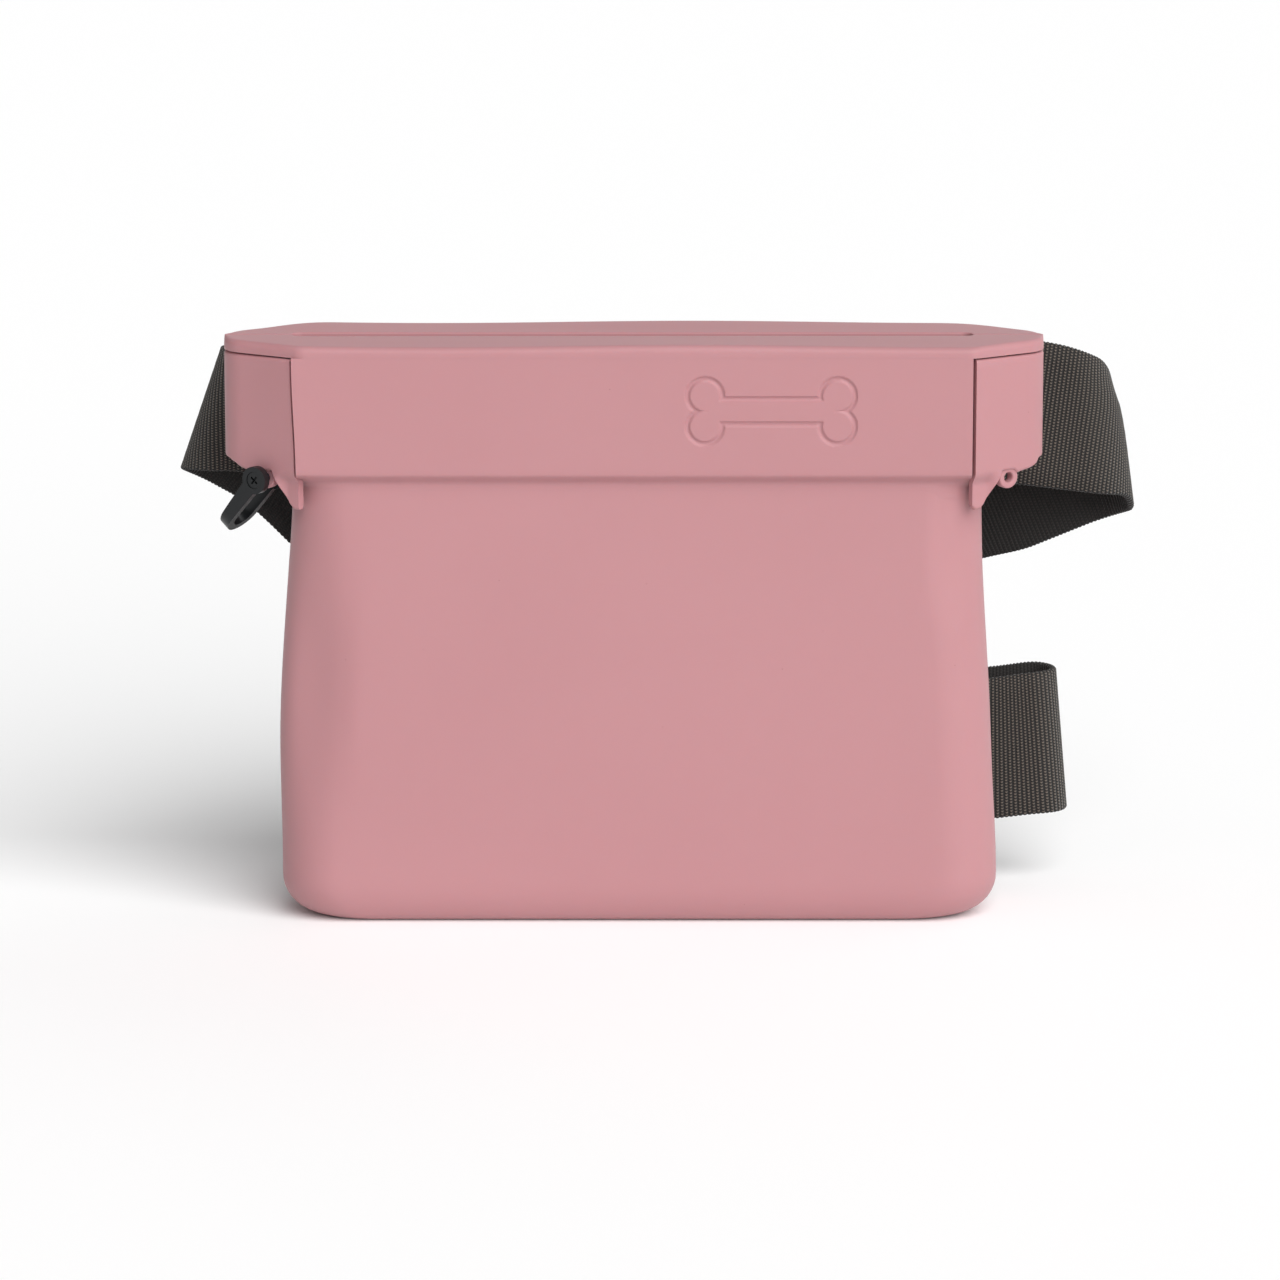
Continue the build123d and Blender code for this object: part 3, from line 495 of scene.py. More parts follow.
def bone_groove(x, z):
    """Depth of a groove along a bone's outline: its shaft is a capsule and each end two discs."""
    x = np.abs(x - BONE_CENTRE[0])
    z = np.abs(z - BONE_CENTRE[1])
    shaft = np.hypot(np.maximum(x - BONE_HALF_SHAFT, 0.0), z) - BONE_SHAFT_RADIUS
    knob = np.hypot(x - BONE_HALF_SHAFT - BONE_SHAFT_RADIUS, z - BONE_KNOB_SPREAD) - BONE_KNOB_RADIUS
    away = np.abs(np.minimum(shaft, knob))
    return GROOVE_DEPTH * (1.0 - ease(GROOVE_HALF_WIDTH - GROOVE_EDGE, GROOVE_HALF_WIDTH + GROOVE_EDGE, away))


def slit_draw(x, z):
    """How far the left slit leans outward at height z, where the wing has been pulled."""
    return SLIT_DRAW * hill(BAND_LEFT, SLIT_DRAW_REACH, x) * ease(116.0, 146.0, z)


def band_rings():
    """Sections of the band at stations across it, close together where the bone is sunk."""
    low, high = BONE_CENTRE[0] - BONE_REACH, BONE_CENTRE[0] + BONE_REACH
    x = np.concatenate([
        np.linspace(BAND_LEFT, low, 70, endpoint=False), np.linspace(low, high, 170, endpoint=False),
        np.linspace(high, BAND_RIGHT, 20)])
    face_z = np.concatenate([
        np.linspace(SHELF_Z + 0.04, 144.0, 5, endpoint=False),
        np.linspace(144.0, 124.0, 68, endpoint=False),
        np.linspace(124.0, STEP_TOP, 5, endpoint=False), np.linspace(STEP_TOP, FEATHER_BOTTOM, 22)])
    back_z = np.linspace(FEATHER_BOTTOM - 0.1, SHELF_Z, 30)
    groove = bone_groove(x[:, None], face_z[None])
    below = 1.0 - ease(CORNER_BLEND_BOTTOM, STEP_TOP, face_z)
    face_y = BAND_FRONT_Y + step_back(face_z)[None] + groove + below[None] * corner_drop(x)[:, None]
    back_step = np.minimum(BACK_STEP_SHARE * step_back(back_z), BACK_STEP_LIMIT)
    back_y = BAND_FRONT_Y + BAND_WALL + back_step
    behind = 1.0 - ease(CORNER_BLEND_BOTTOM, STEP_TOP, back_z)
    back_y = back_y[None] + behind[None] * corner_drop(x)[:, None]
    y = np.concatenate([face_y, back_y], axis=1)
    z = np.broadcast_to(np.concatenate([face_z, back_z]), y.shape)
    across = np.broadcast_to(x[:, None], y.shape)
    return np.stack([across - slit_draw(across, z), y, z], axis=-1)


front_band = make_piece("front_band", band_rings())
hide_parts("front_lip")
front_band.data.materials.append(silicone)
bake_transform(front_band)


# ---------------------------------------------------------------- the collar's wall
# Outside the two slits the collar is one wall of silicone that runs round both ends and across the
# back. Each front wing has an ear with a hole, and a short tail that lies beside the pocket.

WALL = 2.2
WALL_TOP = 146.65
WALL_EDGE_ROUND = 0.8
SLIT_LEFT = -86.8
SLIT_RIGHT = 85.4
EAR_CENTRE = (94.01, -11.39, 115.4)
EAR_NORMAL = (0.5348, -0.8450, 0.0)
EAR_RADIUS = 2.85
EAR_HOLE = 1.25
EAR_HALF_THICKNESS = 1.35
EAR_SQUARENESS = 5
# the wing's lower edge as (x, z): tail tip, the rise to the ear, over the hole, out to the corner
WING_EDGE = ((85.7, 108.6), (86.6, 107.7), (87.9, 107.7), (88.8, 108.7), (90.6, 112.6), (91.7, 115.0),
             (92.5, 117.3), (95.6, 117.3), (96.5, 116.4), (98.0, 116.8), (99.6, 117.1), (100.8, 117.5),
             (101.8, 118.1), (102.4, 118.7))
END_LOW = 119.2
BACK_LOW = 117.0
END_HALF_DEPTH = 6.0
BACK_WALL_RISE = 0.4
TAIL_SHARE = 0.8
SLIT_Y = -18.0
SLIT_STEP = 0.3
SLIT_REACH = 16.0


def wall_low(point):
    """Height of the wall's lower edge: the wing's outline in front, and level behind."""
    x, y = np.abs(point[:, 0]), point[:, 1]
    wing = np.interp(x, *zip(*WING_EDGE))
    behind = END_LOW - (END_LOW - BACK_LOW) * (1.0 - ease(88.0, 102.0, x))
    behind = behind - (BACK_LOW - FEATHER_BOTTOM) * (1.0 - ease(82.0, 88.0, x))
    return np.where(y < -END_HALF_DEPTH, wing, np.where(y < END_HALF_DEPTH, END_LOW, behind))


def wall_rings():
    """Sections of the wall along the outline, each a flat ring with rounded edges.

    They run from the right slit round the back to the left one, close together by the slits.
    """
    first = outline_run(SLIT_RIGHT, SLIT_Y)
    last = outline_run(SLIT_LEFT, SLIT_Y)
    if last < first:
        last += OUTLINE_LENGTH
    fine = np.arange(0.0, SLIT_REACH, SLIT_STEP)
    run = np.concatenate([first + fine, np.linspace(first + SLIT_REACH, last - SLIT_REACH, 200),
                          (last - fine)[::-1]])
    point, normal = on_outline(run)
    low = wall_low(point)
    behind = ease(END_HALF_DEPTH, 2 * END_HALF_DEPTH, point[:, 1])
    share = np.linspace(0.0, 1.0, 34) ** 1.5
    turn = np.linspace(0.0, np.pi, 7)[1:-1]
    top = np.full(len(run), WALL_TOP) + BACK_WALL_RISE * behind
    body_z = low[:, None] + WALL_EDGE_ROUND + (top - low - 2 * WALL_EDGE_ROUND)[:, None] * share
    outside = np.zeros_like(body_z)
    over_z = top[:, None] - WALL_EDGE_ROUND + WALL_EDGE_ROUND * np.sin(turn)
    over = np.broadcast_to(WALL / 2 - WALL / 2 * np.cos(turn), over_z.shape)
    under_z = low[:, None] + WALL_EDGE_ROUND - WALL_EDGE_ROUND * np.sin(turn)
    under = np.broadcast_to(WALL / 2 + WALL / 2 * np.cos(turn), under_z.shape)
    z = np.concatenate([body_z, over_z, body_z[:, ::-1], under_z], axis=1)
    depth = np.concatenate([outside, over, outside + WALL, under], axis=1)
    x = np.abs(point[:, 0])[:, None]
    tail = (1.0 - ease(89.0, 92.0, x)) * (point[:, 1] < 0)[:, None] * TAIL_SHARE
    back = (1.0 - ease(84.0, 90.0, x)) * (point[:, 1] > 0)[:, None]
    depth = depth + step_back(z) * (tail + back)
    flat = point[:, None] - normal[:, None] * depth[..., None]
    flat[..., 0] -= slit_draw(flat[..., 0], z) * (point[:, 1] < -END_HALF_DEPTH)[:, None]
    return np.concatenate([flat, z[..., None]], axis=-1)


collar_wall = make_piece("collar_wall", wall_rings())
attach(collar_wall, "pouch")
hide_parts("back_lip", "left_wing", "right_wing", "left_collar_end", "right_collar_end")
collar_wall.data.materials.append(silicone)


def ear_rings(side):
    """A washer round the ear's hole: its section is a rounded square carried round the hole.

    The section is the curve |out|^5 + |rise|^5 = 1.
    """
    angle = np.linspace(0.0, 2 * np.pi, 56, endpoint=False)
    turn = np.linspace(0.0, 2 * np.pi, 24, endpoint=False) + np.pi / 4
    square = np.abs(np.cos(turn)) ** EAR_SQUARENESS + np.abs(np.sin(turn)) ** EAR_SQUARENESS
    out = np.cos(turn) / square ** (1 / EAR_SQUARENESS)
    rise = np.sin(turn) / square ** (1 / EAR_SQUARENESS)
    middle = (EAR_RADIUS + EAR_HOLE) / 2
    radius = middle + out * (EAR_RADIUS - EAR_HOLE) / 2
    normal = np.array(EAR_NORMAL) * (side, 1.0, 1.0)
    along = np.array([-normal[1], normal[0], 0.0]) * side
    centre = np.array(EAR_CENTRE) * (side, 1.0, 1.0) - normal * (WALL / 2)
    spoke = np.cos(angle)[:, None] * along + np.sin(angle)[:, None] * np.array([0.0, 0.0, 1.0])
    lift = normal * (rise * EAR_HALF_THICKNESS)[None, :, None]
    return centre + spoke[:, None] * radius[None, :, None] + lift


def make_hoop(name, rings):
    """A closed hoop: the last ring joins the first one, with no end faces."""
    count, around = rings.shape[:2]
    row = np.arange(count)[:, None]
    column = np.arange(around)[None]
    next_row, next_column = (row + 1) % count, (column + 1) % around
    faces = np.stack([row * around + column, row * around + next_column,
                      next_row * around + next_column, next_row * around + column], axis=-1)
    mesh = bpy.data.meshes.new(name)
    mesh.from_pydata((rings.reshape(-1, 3) * 0.001).tolist(), [], faces.reshape(-1, 4).tolist())
    work = bmesh.new()
    work.from_mesh(mesh)
    bmesh.ops.recalc_face_normals(work, faces=work.faces)
    work.to_mesh(mesh)
    work.free()
    mesh.shade_smooth()
    piece = bpy.data.objects.new(name, mesh)
    bpy.context.scene.collection.objects.link(piece)
    return piece


for side, word in ((-1, "left"), (1, "right")):
    ear = make_hoop(word + "_ear", ear_rings(side))
    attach(ear, "pouch")
    ear.data.materials.append(silicone)

# Inside each end of the collar a web of the same rubber closes the space down to the pocket.
WEB_HALF_THICKNESS = 0.8
WEB_HIGH_Z = 120.6
WEB_LOW_Z = 113.2
WEB_DROP_START = 0.7
WEB_TURN = (-0.42, 1.35)
WEB_OUTER_CENTRE = 86.0
WEB_OUTER_HALF_DEPTH = 16.6
WEB_OUTER_SQUARENESS = 0.6
WEB_INNER_CENTRE = 72.6
WEB_INNER_REACH = 14.2
WEB_INNER_HALF_DEPTH = 15.2
WALL_BITE = 1.2


def web_rings(side):
    """Sections of the web from the collar's wall in to the pocket: level, then a smooth drop.

    Both its edges are part ellipses; the outer one is squared, and ends inside the wall.
    """
    end = (RIGHT_END if side > 0 else -LEFT_END) - WALL_BITE
    turn = np.linspace(*WEB_TURN, 48)
    outer_x = WEB_OUTER_CENTRE + (end - WEB_OUTER_CENTRE) * np.cos(turn) ** WEB_OUTER_SQUARENESS
    start = np.stack([outer_x, WEB_OUTER_HALF_DEPTH * np.sin(turn)], axis=-1)
    finish = np.stack([WEB_INNER_CENTRE + WEB_INNER_REACH * np.cos(turn),
                       WEB_INNER_HALF_DEPTH * np.sin(turn)], axis=-1)
    share = np.linspace(0.0, 1.0, 18)
    level = WEB_HIGH_Z - (WEB_HIGH_Z - WEB_LOW_Z) * ease(WEB_DROP_START, 1.0, share)
    both = np.concatenate([share, share[::-1]])
    height = np.concatenate([level + WEB_HALF_THICKNESS, level[::-1] - WEB_HALF_THICKNESS])
    flat = start[:, None] * (1.0 - both)[None, :, None] + finish[:, None] * both[None, :, None]
    flat[..., 0] *= side
    return np.concatenate([flat, np.broadcast_to(height[:, None], flat.shape[:2] + (1,))], axis=-1)


for side, word in ((-1, "left"), (1, "right")):
    web = make_piece(word + "_collar_web", web_rings(side))
    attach(web, "pouch")
    web.data.materials.append(silicone)


# ---------------------------------------------------------------- the belt loops
# Two flat straps of the same silicone stand off the back wall, moulded to it at their feet, with
# just enough room inside for the webbing. Their long edges are fully rounded and their feet flare.

LOOP_HALF_WIDTH = 13.0
LOOP_HALF_WALL = 1.2
LOOP_TOP_HALF_WALL = 0.75
LOOP_BEND = 2.6
LOOP_OUT_Y = 25.0
LOOP_LOW = (15.0, 106.5)
LOOP_HIGH = (16.9, 147.2)
LOOP_FLARE = 1.4
LOOP_FLARE_FROM = 15.5
LOOP_FLARE_TO = 22.0
LOOP_THIN_FROM = 143.5
LOOP_THIN_TO = 146.8
LOOP_BULGE = 0.5
LOOP_FOOT_STATIONS = 9
LOOP_RISE_STATIONS = 28
LOOP_EDGE_STATIONS = 9


def loop_rings(centre_x):
    """A stadium section carried out from the wall, round a bend, up, and round a bend back in."""
    bend = np.linspace(0.0, np.pi / 2, 12)
    out_y = LOOP_OUT_Y - LOOP_BEND
    low_z, high_z = LOOP_LOW[1] + LOOP_BEND, LOOP_HIGH[1] - LOOP_BEND
    rise = np.linspace(low_z, high_z, LOOP_RISE_STATIONS + 2)[1:-1]
    foot_y = np.linspace(LOOP_LOW[0], out_y, LOOP_FOOT_STATIONS + 1)[:-1]
    head_y = np.linspace(out_y, LOOP_HIGH[0], LOOP_FOOT_STATIONS + 1)[1:]
    y = np.concatenate([foot_y, out_y + LOOP_BEND * np.sin(bend), np.full_like(rise, LOOP_OUT_Y),
                        out_y + LOOP_BEND * np.cos(bend), head_y])
    z = np.concatenate([np.full_like(foot_y, LOOP_LOW[1]), low_z - LOOP_BEND * np.cos(bend), rise,
                        high_z + LOOP_BEND * np.sin(bend), np.full_like(head_y, LOOP_HIGH[1])])
    y = y + LOOP_BULGE * np.sin(np.pi * (z - LOOP_LOW[1]) / (LOOP_HIGH[1] - LOOP_LOW[1]))
    along = np.stack([np.gradient(y), np.gradient(z)], axis=-1)
    along /= np.linalg.norm(along, axis=1, keepdims=True)
    thinner = (LOOP_TOP_HALF_WALL - LOOP_HALF_WALL) * ease(LOOP_THIN_FROM, LOOP_THIN_TO, z)
    half = LOOP_HALF_WALL + thinner
    wide = LOOP_HALF_WIDTH + LOOP_FLARE * (1.0 - ease(LOOP_FLARE_FROM, LOOP_FLARE_TO, y))
    turn = np.linspace(-np.pi / 2, np.pi / 2, LOOP_EDGE_STATIONS)
    sweep = np.concatenate([turn, turn + np.pi])
    sense = np.concatenate([np.ones_like(turn), -np.ones_like(turn)])
    across = sense * (wide - half)[:, None] + half[:, None] * np.cos(sweep)
    lift = half[:, None] * np.sin(sweep)
    return np.stack([centre_x + across, y[:, None] + along[:, 1:] * lift,
                     z[:, None] - along[:, :1] * lift], axis=-1)


for word in ("left", "right"):
    low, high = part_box(word + "_belt_loop")
    loop = make_piece(word + "_loop_strap", loop_rings(500.0 * (low.x + high.x)))
    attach(loop, "pouch")
    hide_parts(word + "_belt_loop")
    loop.data.materials.append(silicone)


# ---------------------------------------------------------------- the belt
# The waist belt is one length of heavy ribbed webbing, 38 mm wide, threaded through two loops on the
# back wall and folded away behind the pouch. Each rib is a thick weft pick bound by fine warps.

BELT_HALF_WIDTH = 19.0
BELT_HALF_THICKNESS = 0.9
RIB_SPACING = 1.07
RIB_HEIGHT = 0.16
SAMPLES_PER_RIB = 4
SELVEDGE_START = 18.6
SELVEDGE_NOTCH = 0.012
BELT_Z = 127.0
LEFT_TURN = (-103.0, 16.5)
RIGHT_TURN = (114.0, -7.7)
INNER_TURN = (-62.5, -11.2)
LOW_TURN_X = 104.0
DROOP_X = 93.0
DROOP = 7.0
DROOP_RADIUS = 60.0
RISING_BEND_SHARE = 0.96
PLUG_BAR_X = 8.6
SOCKET_BAR_X = -40.7
HAIRPIN_RADIUS = 2.8
TAIL_LENGTH = 71.0
SEWN_LENGTH = 16.0
LAP_LIFT = 1.92
LAP_START = 1.0
LAP_END = 10.0
UPPER_BELT = (80.0, 90.0)
TOP_EDGE_START = 4.0
SINK_START = 104.0
SINK_RATE = 0.0102
TOP_DRAW = 1.5
CROSS_SINK = 3.6
LEFT_LEAN = 0.14
LOW_TURN_LEAN = 1.7
LOW_TURN_LIFT = 1.8


def run_plane(node):
    """The middle of a flat run's thickness, in y."""
    low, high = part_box(node)
    return 500.0 * (low.y + high.y)


UPPER_Y = run_plane("belt_upper_run")
CROSS_Y = run_plane("belt_cross_run")
RISING_Y = run_plane("belt_rising_run")
plug_low, plug_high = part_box("belt_plug_run")
LOWER_Y = plug_low.y * 1000.0 + BELT_HALF_THICKNESS
LOWER_Z = 500.0 * (plug_low.z + plug_high.z)


def lean(tilt):
    """A fold line's direction in the (x, z) plane, tilted from upright towards +x."""
    return np.array([np.sin(np.radians(tilt)), np.cos(np.radians(tilt))])


def reflect(heading, tilt):
    """The heading after a half turn about a fold line: the part across the line is reversed."""
    axis = lean(tilt)
    return 2.0 * axis * (heading @ axis) - heading


def drift(heading, tilt, radius):
    """How far a half turn carries the strip's middle along the fold line."""
    axis = lean(tilt)
    across = heading - axis * (heading @ axis)
    return axis * (np.pi * radius * (heading @ axis) / np.linalg.norm(across))


LEVEL_LEFT = np.array([-1.0, 0.0])
left_radius = (RISING_Y - UPPER_Y) / 2
left_spot = np.array([LEFT_TURN[0], BELT_Z])
left_meet = left_spot + drift(LEVEL_LEFT, LEFT_TURN[1], left_radius)
rise = np.radians(2 * LEFT_TURN[1])
bend_corner = left_meet[0] + (left_meet[1] - LOWER_Z) / np.tan(rise)
bend_tangent = RISING_BEND_SHARE * (LOW_TURN_X - bend_corner)
bend_radius = bend_tangent / np.tan(rise / 2)
bend_rest = (left_meet[1] - LOWER_Z) / np.sin(rise) - bend_tangent
droop_turn = np.radians(DROOP)
droop_tangent = DROOP_RADIUS * np.tan(droop_turn / 2)
right_radius = (CROSS_Y - UPPER_Y) / 2
drooping = np.array([np.cos(droop_turn), -np.sin(droop_turn)])
right_spot = np.array([DROOP_X, BELT_Z]) + drooping * (RIGHT_TURN[0] - DROOP_X) / drooping[0]
right_meet = right_spot + drift(drooping, RIGHT_TURN[1], right_radius)
crossing = reflect(drooping, RIGHT_TURN[1])
cross_length = (INNER_TURN[0] - right_meet[0]) / crossing[0]

# each run: its plane, its stretches as (length, turn in radians, positive upward from +x), then the
# turn that ends it as (tilt, radius); the run without stretches reaches the socket's bar
runs = [
    (LOWER_Y + 2 * HAIRPIN_RADIUS, [(TAIL_LENGTH, 0.0)], (0.0, HAIRPIN_RADIUS)),
    (LOWER_Y, [(LOW_TURN_X - PLUG_BAR_X, 0.0)], (0.0, (RISING_Y - LOWER_Y) / 2)),
    (RISING_Y, [(LOW_TURN_X - bend_corner - bend_tangent, 0.0), (bend_radius * rise, -rise),
                (bend_rest, 0.0)], (LEFT_TURN[1], left_radius)),
    (UPPER_Y, [(DROOP_X - droop_tangent - LEFT_TURN[0], 0.0), (DROOP_RADIUS * droop_turn, -droop_turn),
               ((RIGHT_TURN[0] - DROOP_X) / drooping[0] - droop_tangent, 0.0)],
     (RIGHT_TURN[1], right_radius)),
    (CROSS_Y, [(cross_length, 0.0)], (INNER_TURN[1], (CROSS_Y - LOWER_Y) / 2)),
    (LOWER_Y, None, (0.0, HAIRPIN_RADIUS)),
    (LOWER_Y + 2 * HAIRPIN_RADIUS, [(SEWN_LENGTH, 0.0)], None),
]


def turned(vector, angle):
    """A vector of the (x, z) plane turned anticlockwise, for one angle or an array of them."""
    cos, sin = np.cos(angle), np.sin(angle)
    return np.stack([vector[0] * cos - vector[1] * sin, vector[0] * sin + vector[1] * cos], axis=-1)


def lay_run(run, start, heading, side, stretches):
    """Middle points and width directions along a run of straight and arc stretches.

    run is the distance from the run's start; before it and past its end the strip goes on straight.
    Returns them with the point, heading and width direction at the run's end.
    """
    middle = start + run[..., None] * heading
    width = np.broadcast_to(side, middle.shape).copy()
    passed = 0.0
    for length, turn in stretches:
        if turn:
            radius = length / turn
            left = np.array([-heading[1], heading[0]])
            centre = start + radius * left
            angle = np.clip((run - passed) / radius, min(turn, 0.0), max(turn, 0.0))
            on_arc = centre + turned(start - centre, angle)
            here = run >= passed
            middle[here] = on_arc[here]
            width[here] = turned(side, angle)[here]
            start = centre + turned(start - centre, turn)
            heading, side = turned(heading, turn), turned(side, turn)
        else:
            start = start + heading * length
        passed += length
        beyond = run > passed
        middle[beyond] = (start + (run - passed)[..., None] * heading)[beyond]
        width[beyond] = side
    return middle, width, start, heading, side


def lay_belt(run, across, lift):
    """Places flat strip coordinates (run, across, lift) on the folded belt, as one isometry.

    Between folds a point is start + heading run + width across. Past a fold line with axis a and
    normal p it wraps a cylinder of radius r: a t + p r sin(c/r), and after half a turn lies flat
    again, where c and t are its distances across and along the fold line.
    """
    heading, side = LEVEL_LEFT, np.array([0.0, 1.0])
    start = np.array([PLUG_BAR_X + TAIL_LENGTH, LOWER_Z])
    face, origin = 1.0, 0.0
    spots = None
    for index, (plane, stretches, fold) in enumerate(runs):
        if stretches is None:
            stretches = [(SOCKET_BAR_X - start[0], 0.0)]
        middle, width, end, heading, side = lay_run(run - origin, start, heading, side, stretches)
        flat = middle + width * across[..., None]
        lap = 0.0
        if index in (0, len(runs) - 1):
            from_bar = TAIL_LENGTH - run if index == 0 else run - origin
            lap = (2 * HAIRPIN_RADIUS - LAP_LIFT) * ease(LAP_START, LAP_END, from_bar)
        depth = plane - lap + face * lift
        placed = np.stack([flat[..., 0], depth, flat[..., 1]], axis=-1)
        if spots is None:
            spots = placed
        else:
            spots[after_fold] = placed[after_fold]
        if fold is None:
            break
        tilt, radius = fold
        axis = lean(tilt)
        normal = heading - axis * (heading @ axis)
        slope = np.linalg.norm(normal)
        normal = normal / slope
        away, along = (flat - end) @ normal, (flat - end) @ axis
        sense = np.sign(runs[index + 1][0] - plane)
        angle = np.clip(away / radius, 0.0, np.pi)
        out = radius - face * sense * lift
        bent = end + along[..., None] * axis + (out * np.sin(angle))[..., None] * normal
        height = plane + sense * (radius - out * np.cos(angle))
        wrapped = np.stack([bent[..., 0], height, bent[..., 1]], axis=-1)
        on_fold = away >= 0.0
        if index > 0:
            on_fold &= after_fold
        spots[on_fold] = wrapped[on_fold]
        after_fold = on_fold & (away >= np.pi * radius)
        origin = origin + sum(length for length, _ in stretches) + np.pi * radius / slope
        start = end + drift(heading, tilt, radius)
        heading, side = reflect(heading, tilt), reflect(side, tilt)
        face = -face
    return spots, origin + SEWN_LENGTH


def settle(points):
    """Lets the three turns hang: the upper right one's top edge sinks as c (x - x0)^2, the left one
    leans back, which draws its edges together, and the low one lifts and leans outward.
    """
    x, y, z = points[..., 0], points[..., 1], points[..., 2]
    upper = ease(*UPPER_BELT, z)
    share_up = (z - BELT_Z + TOP_EDGE_START) / BELT_HALF_WIDTH
    sunk = SINK_RATE * np.maximum(x - SINK_START, 0.0) ** 2 * ease(-0.3, 1.0, share_up) * upper
    drawn = TOP_DRAW * ease(0.3, 1.0, share_up) * ease(110.0, 125.0, x)
    sunk = sunk + CROSS_SINK * ease(25.0, 36.0, y) * ease(50.0, 88.0, x) * upper
    sunk = sunk + LEFT_LEAN * (z - BELT_Z) * ease(86.0, 106.0, -x) * upper
    lower = ease(88.0, 108.0, x) * (1.0 - upper)
    lean_out = LOW_TURN_LEAN * (LOWER_Z - z) / BELT_HALF_WIDTH
    return np.stack([x - drawn + lower * lean_out, y, z - sunk + lower * LOW_TURN_LIFT], axis=-1)


_, BELT_LENGTH = lay_belt(np.zeros((1, 1)), np.zeros((1, 1)), np.zeros((1, 1)))
ribs = int(round(BELT_LENGTH / RIB_SPACING))
along_belt = np.linspace(0.0, BELT_LENGTH, ribs * SAMPLES_PER_RIB + 1)
# the strip's section: nine places across each face, and a rounded selvedge at each edge
top = np.array([-18.4, -13.8, -9.2, -4.6, 0.0, 4.6, 9.2, 13.8, 18.4])
edge = np.array([18.85, 19.0, 18.85])
edge_lift = np.array([0.6, 0.0, -0.6])
across_ring = np.concatenate([top, edge, top[::-1], -edge])
lift_ring = np.concatenate([np.ones_like(top), edge_lift, -np.ones_like(top), -edge_lift])
pick = np.abs(np.sin(np.pi * along_belt * ribs / BELT_LENGTH)) ** 0.8
selvedge = np.abs(across_ring) > SELVEDGE_START
across_grid = across_ring[None] * (1.0 - selvedge[None] * SELVEDGE_NOTCH * (1.0 - pick[:, None]))
lift_grid = BELT_HALF_THICKNESS * lift_ring[None] - (RIB_HEIGHT * (1.0 - pick))[:, None] * lift_ring[None]
run_grid = np.broadcast_to(along_belt[:, None], across_grid.shape)
belt_points, _ = lay_belt(run_grid, across_grid, lift_grid)
belt_points = settle(belt_points)
around = np.concatenate([[0.0], np.cumsum(np.hypot(np.diff(across_ring), np.diff(lift_ring) * 0.9))])
around = around / (around[-1] + np.hypot(0.15, 0.36))
belt_uv = np.stack([run_grid / BELT_LENGTH, np.broadcast_to(around[None], run_grid.shape)], axis=-1)
belt = make_piece("belt_webbing", belt_points, uv=belt_uv, crease=75.0)
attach(belt, "pouch")
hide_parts("belt_upper_run", "belt_right_turn", "belt_cross_run", "belt_inner_turn",
            "belt_socket_end", "belt_plug_run", "belt_low_turn", "belt_rising_run", "belt_left_turn")

# Polyester webbing woven with thick ribs: a dull brown-black yarn with taupe flecks where the twist
# turns a paler ply outward. The flecks repeat every 0.8 mm, each rib's set half a repeat off the
# last one's. The inner face is the same yarn but is painted in shade: it shows the flecks only a
# tenth as strongly, because the light hardly reaches it there.
WEBBING_DARK = "#151312"
WEBBING_PLY = "#655c53"
FLECK_LENGTH = 0.40
# painted shade: the share of the pale flecks left on the inner face, which the light hardly reaches
PAINTED_SHADE_INNER_FLECKS = 0.1
RING_LENGTH = 79.0

webbing, tree, output = new_material("webbing_ribbed_polyester")
flat_place = add(tree, "ShaderNodeUVMap", uv_map="flat").outputs["UV"]
split = add(tree, "ShaderNodeSeparateXYZ", {"Vector": flat_place})
rib_count = add(tree, "ShaderNodeMath", {0: split.outputs["X"], 1: float(ribs)}, operation="MULTIPLY")
rib_index = add(tree, "ShaderNodeMath", {0: rib_count.outputs[0]}, operation="FLOOR")
rib_part = add(tree, "ShaderNodeMath", {0: rib_count.outputs[0]}, operation="FRACT")
shake = add(tree, "ShaderNodeTexWhiteNoise", {"W": rib_index.outputs[0]}, noise_dimensions="1D")
fleck_count = add(tree, "ShaderNodeMath", {0: split.outputs["Y"], 1: RING_LENGTH / FLECK_LENGTH},
                  operation="MULTIPLY")
staggered = add(tree, "ShaderNodeMath", {0: fleck_count.outputs[0], 1: rib_index.outputs[0]},
                operation="ADD")
crest = add(tree, "ShaderNodeMath", {0: rib_part.outputs[0], 1: 0.5}, operation="PINGPONG")
skewed = add(tree, "ShaderNodeMath", {0: crest.outputs[0], 1: 1.5, 2: staggered.outputs[0]},
             operation="MULTIPLY_ADD")
jittered = add(tree, "ShaderNodeMath", {0: shake.outputs["Value"], 1: 0.35, 2: skewed.outputs[0]},
               operation="MULTIPLY_ADD")
twist = add(tree, "ShaderNodeMath", {0: jittered.outputs[0], 1: 1.0}, operation="PINGPONG")
crest_mask = add(tree, "ShaderNodeMapRange", {"Value": crest.outputs[0], "From Min": 0.15,
                                              "From Max": 0.36}, interpolation_type="SMOOTHSTEP")
ply_mask = add(tree, "ShaderNodeMapRange", {"Value": twist.outputs[0], "From Min": 0.35,
                                            "From Max": 0.75}, interpolation_type="SMOOTHSTEP")
mask = add(tree, "ShaderNodeMath", {0: crest_mask.outputs[0], 1: ply_mask.outputs[0]},
           operation="MULTIPLY")
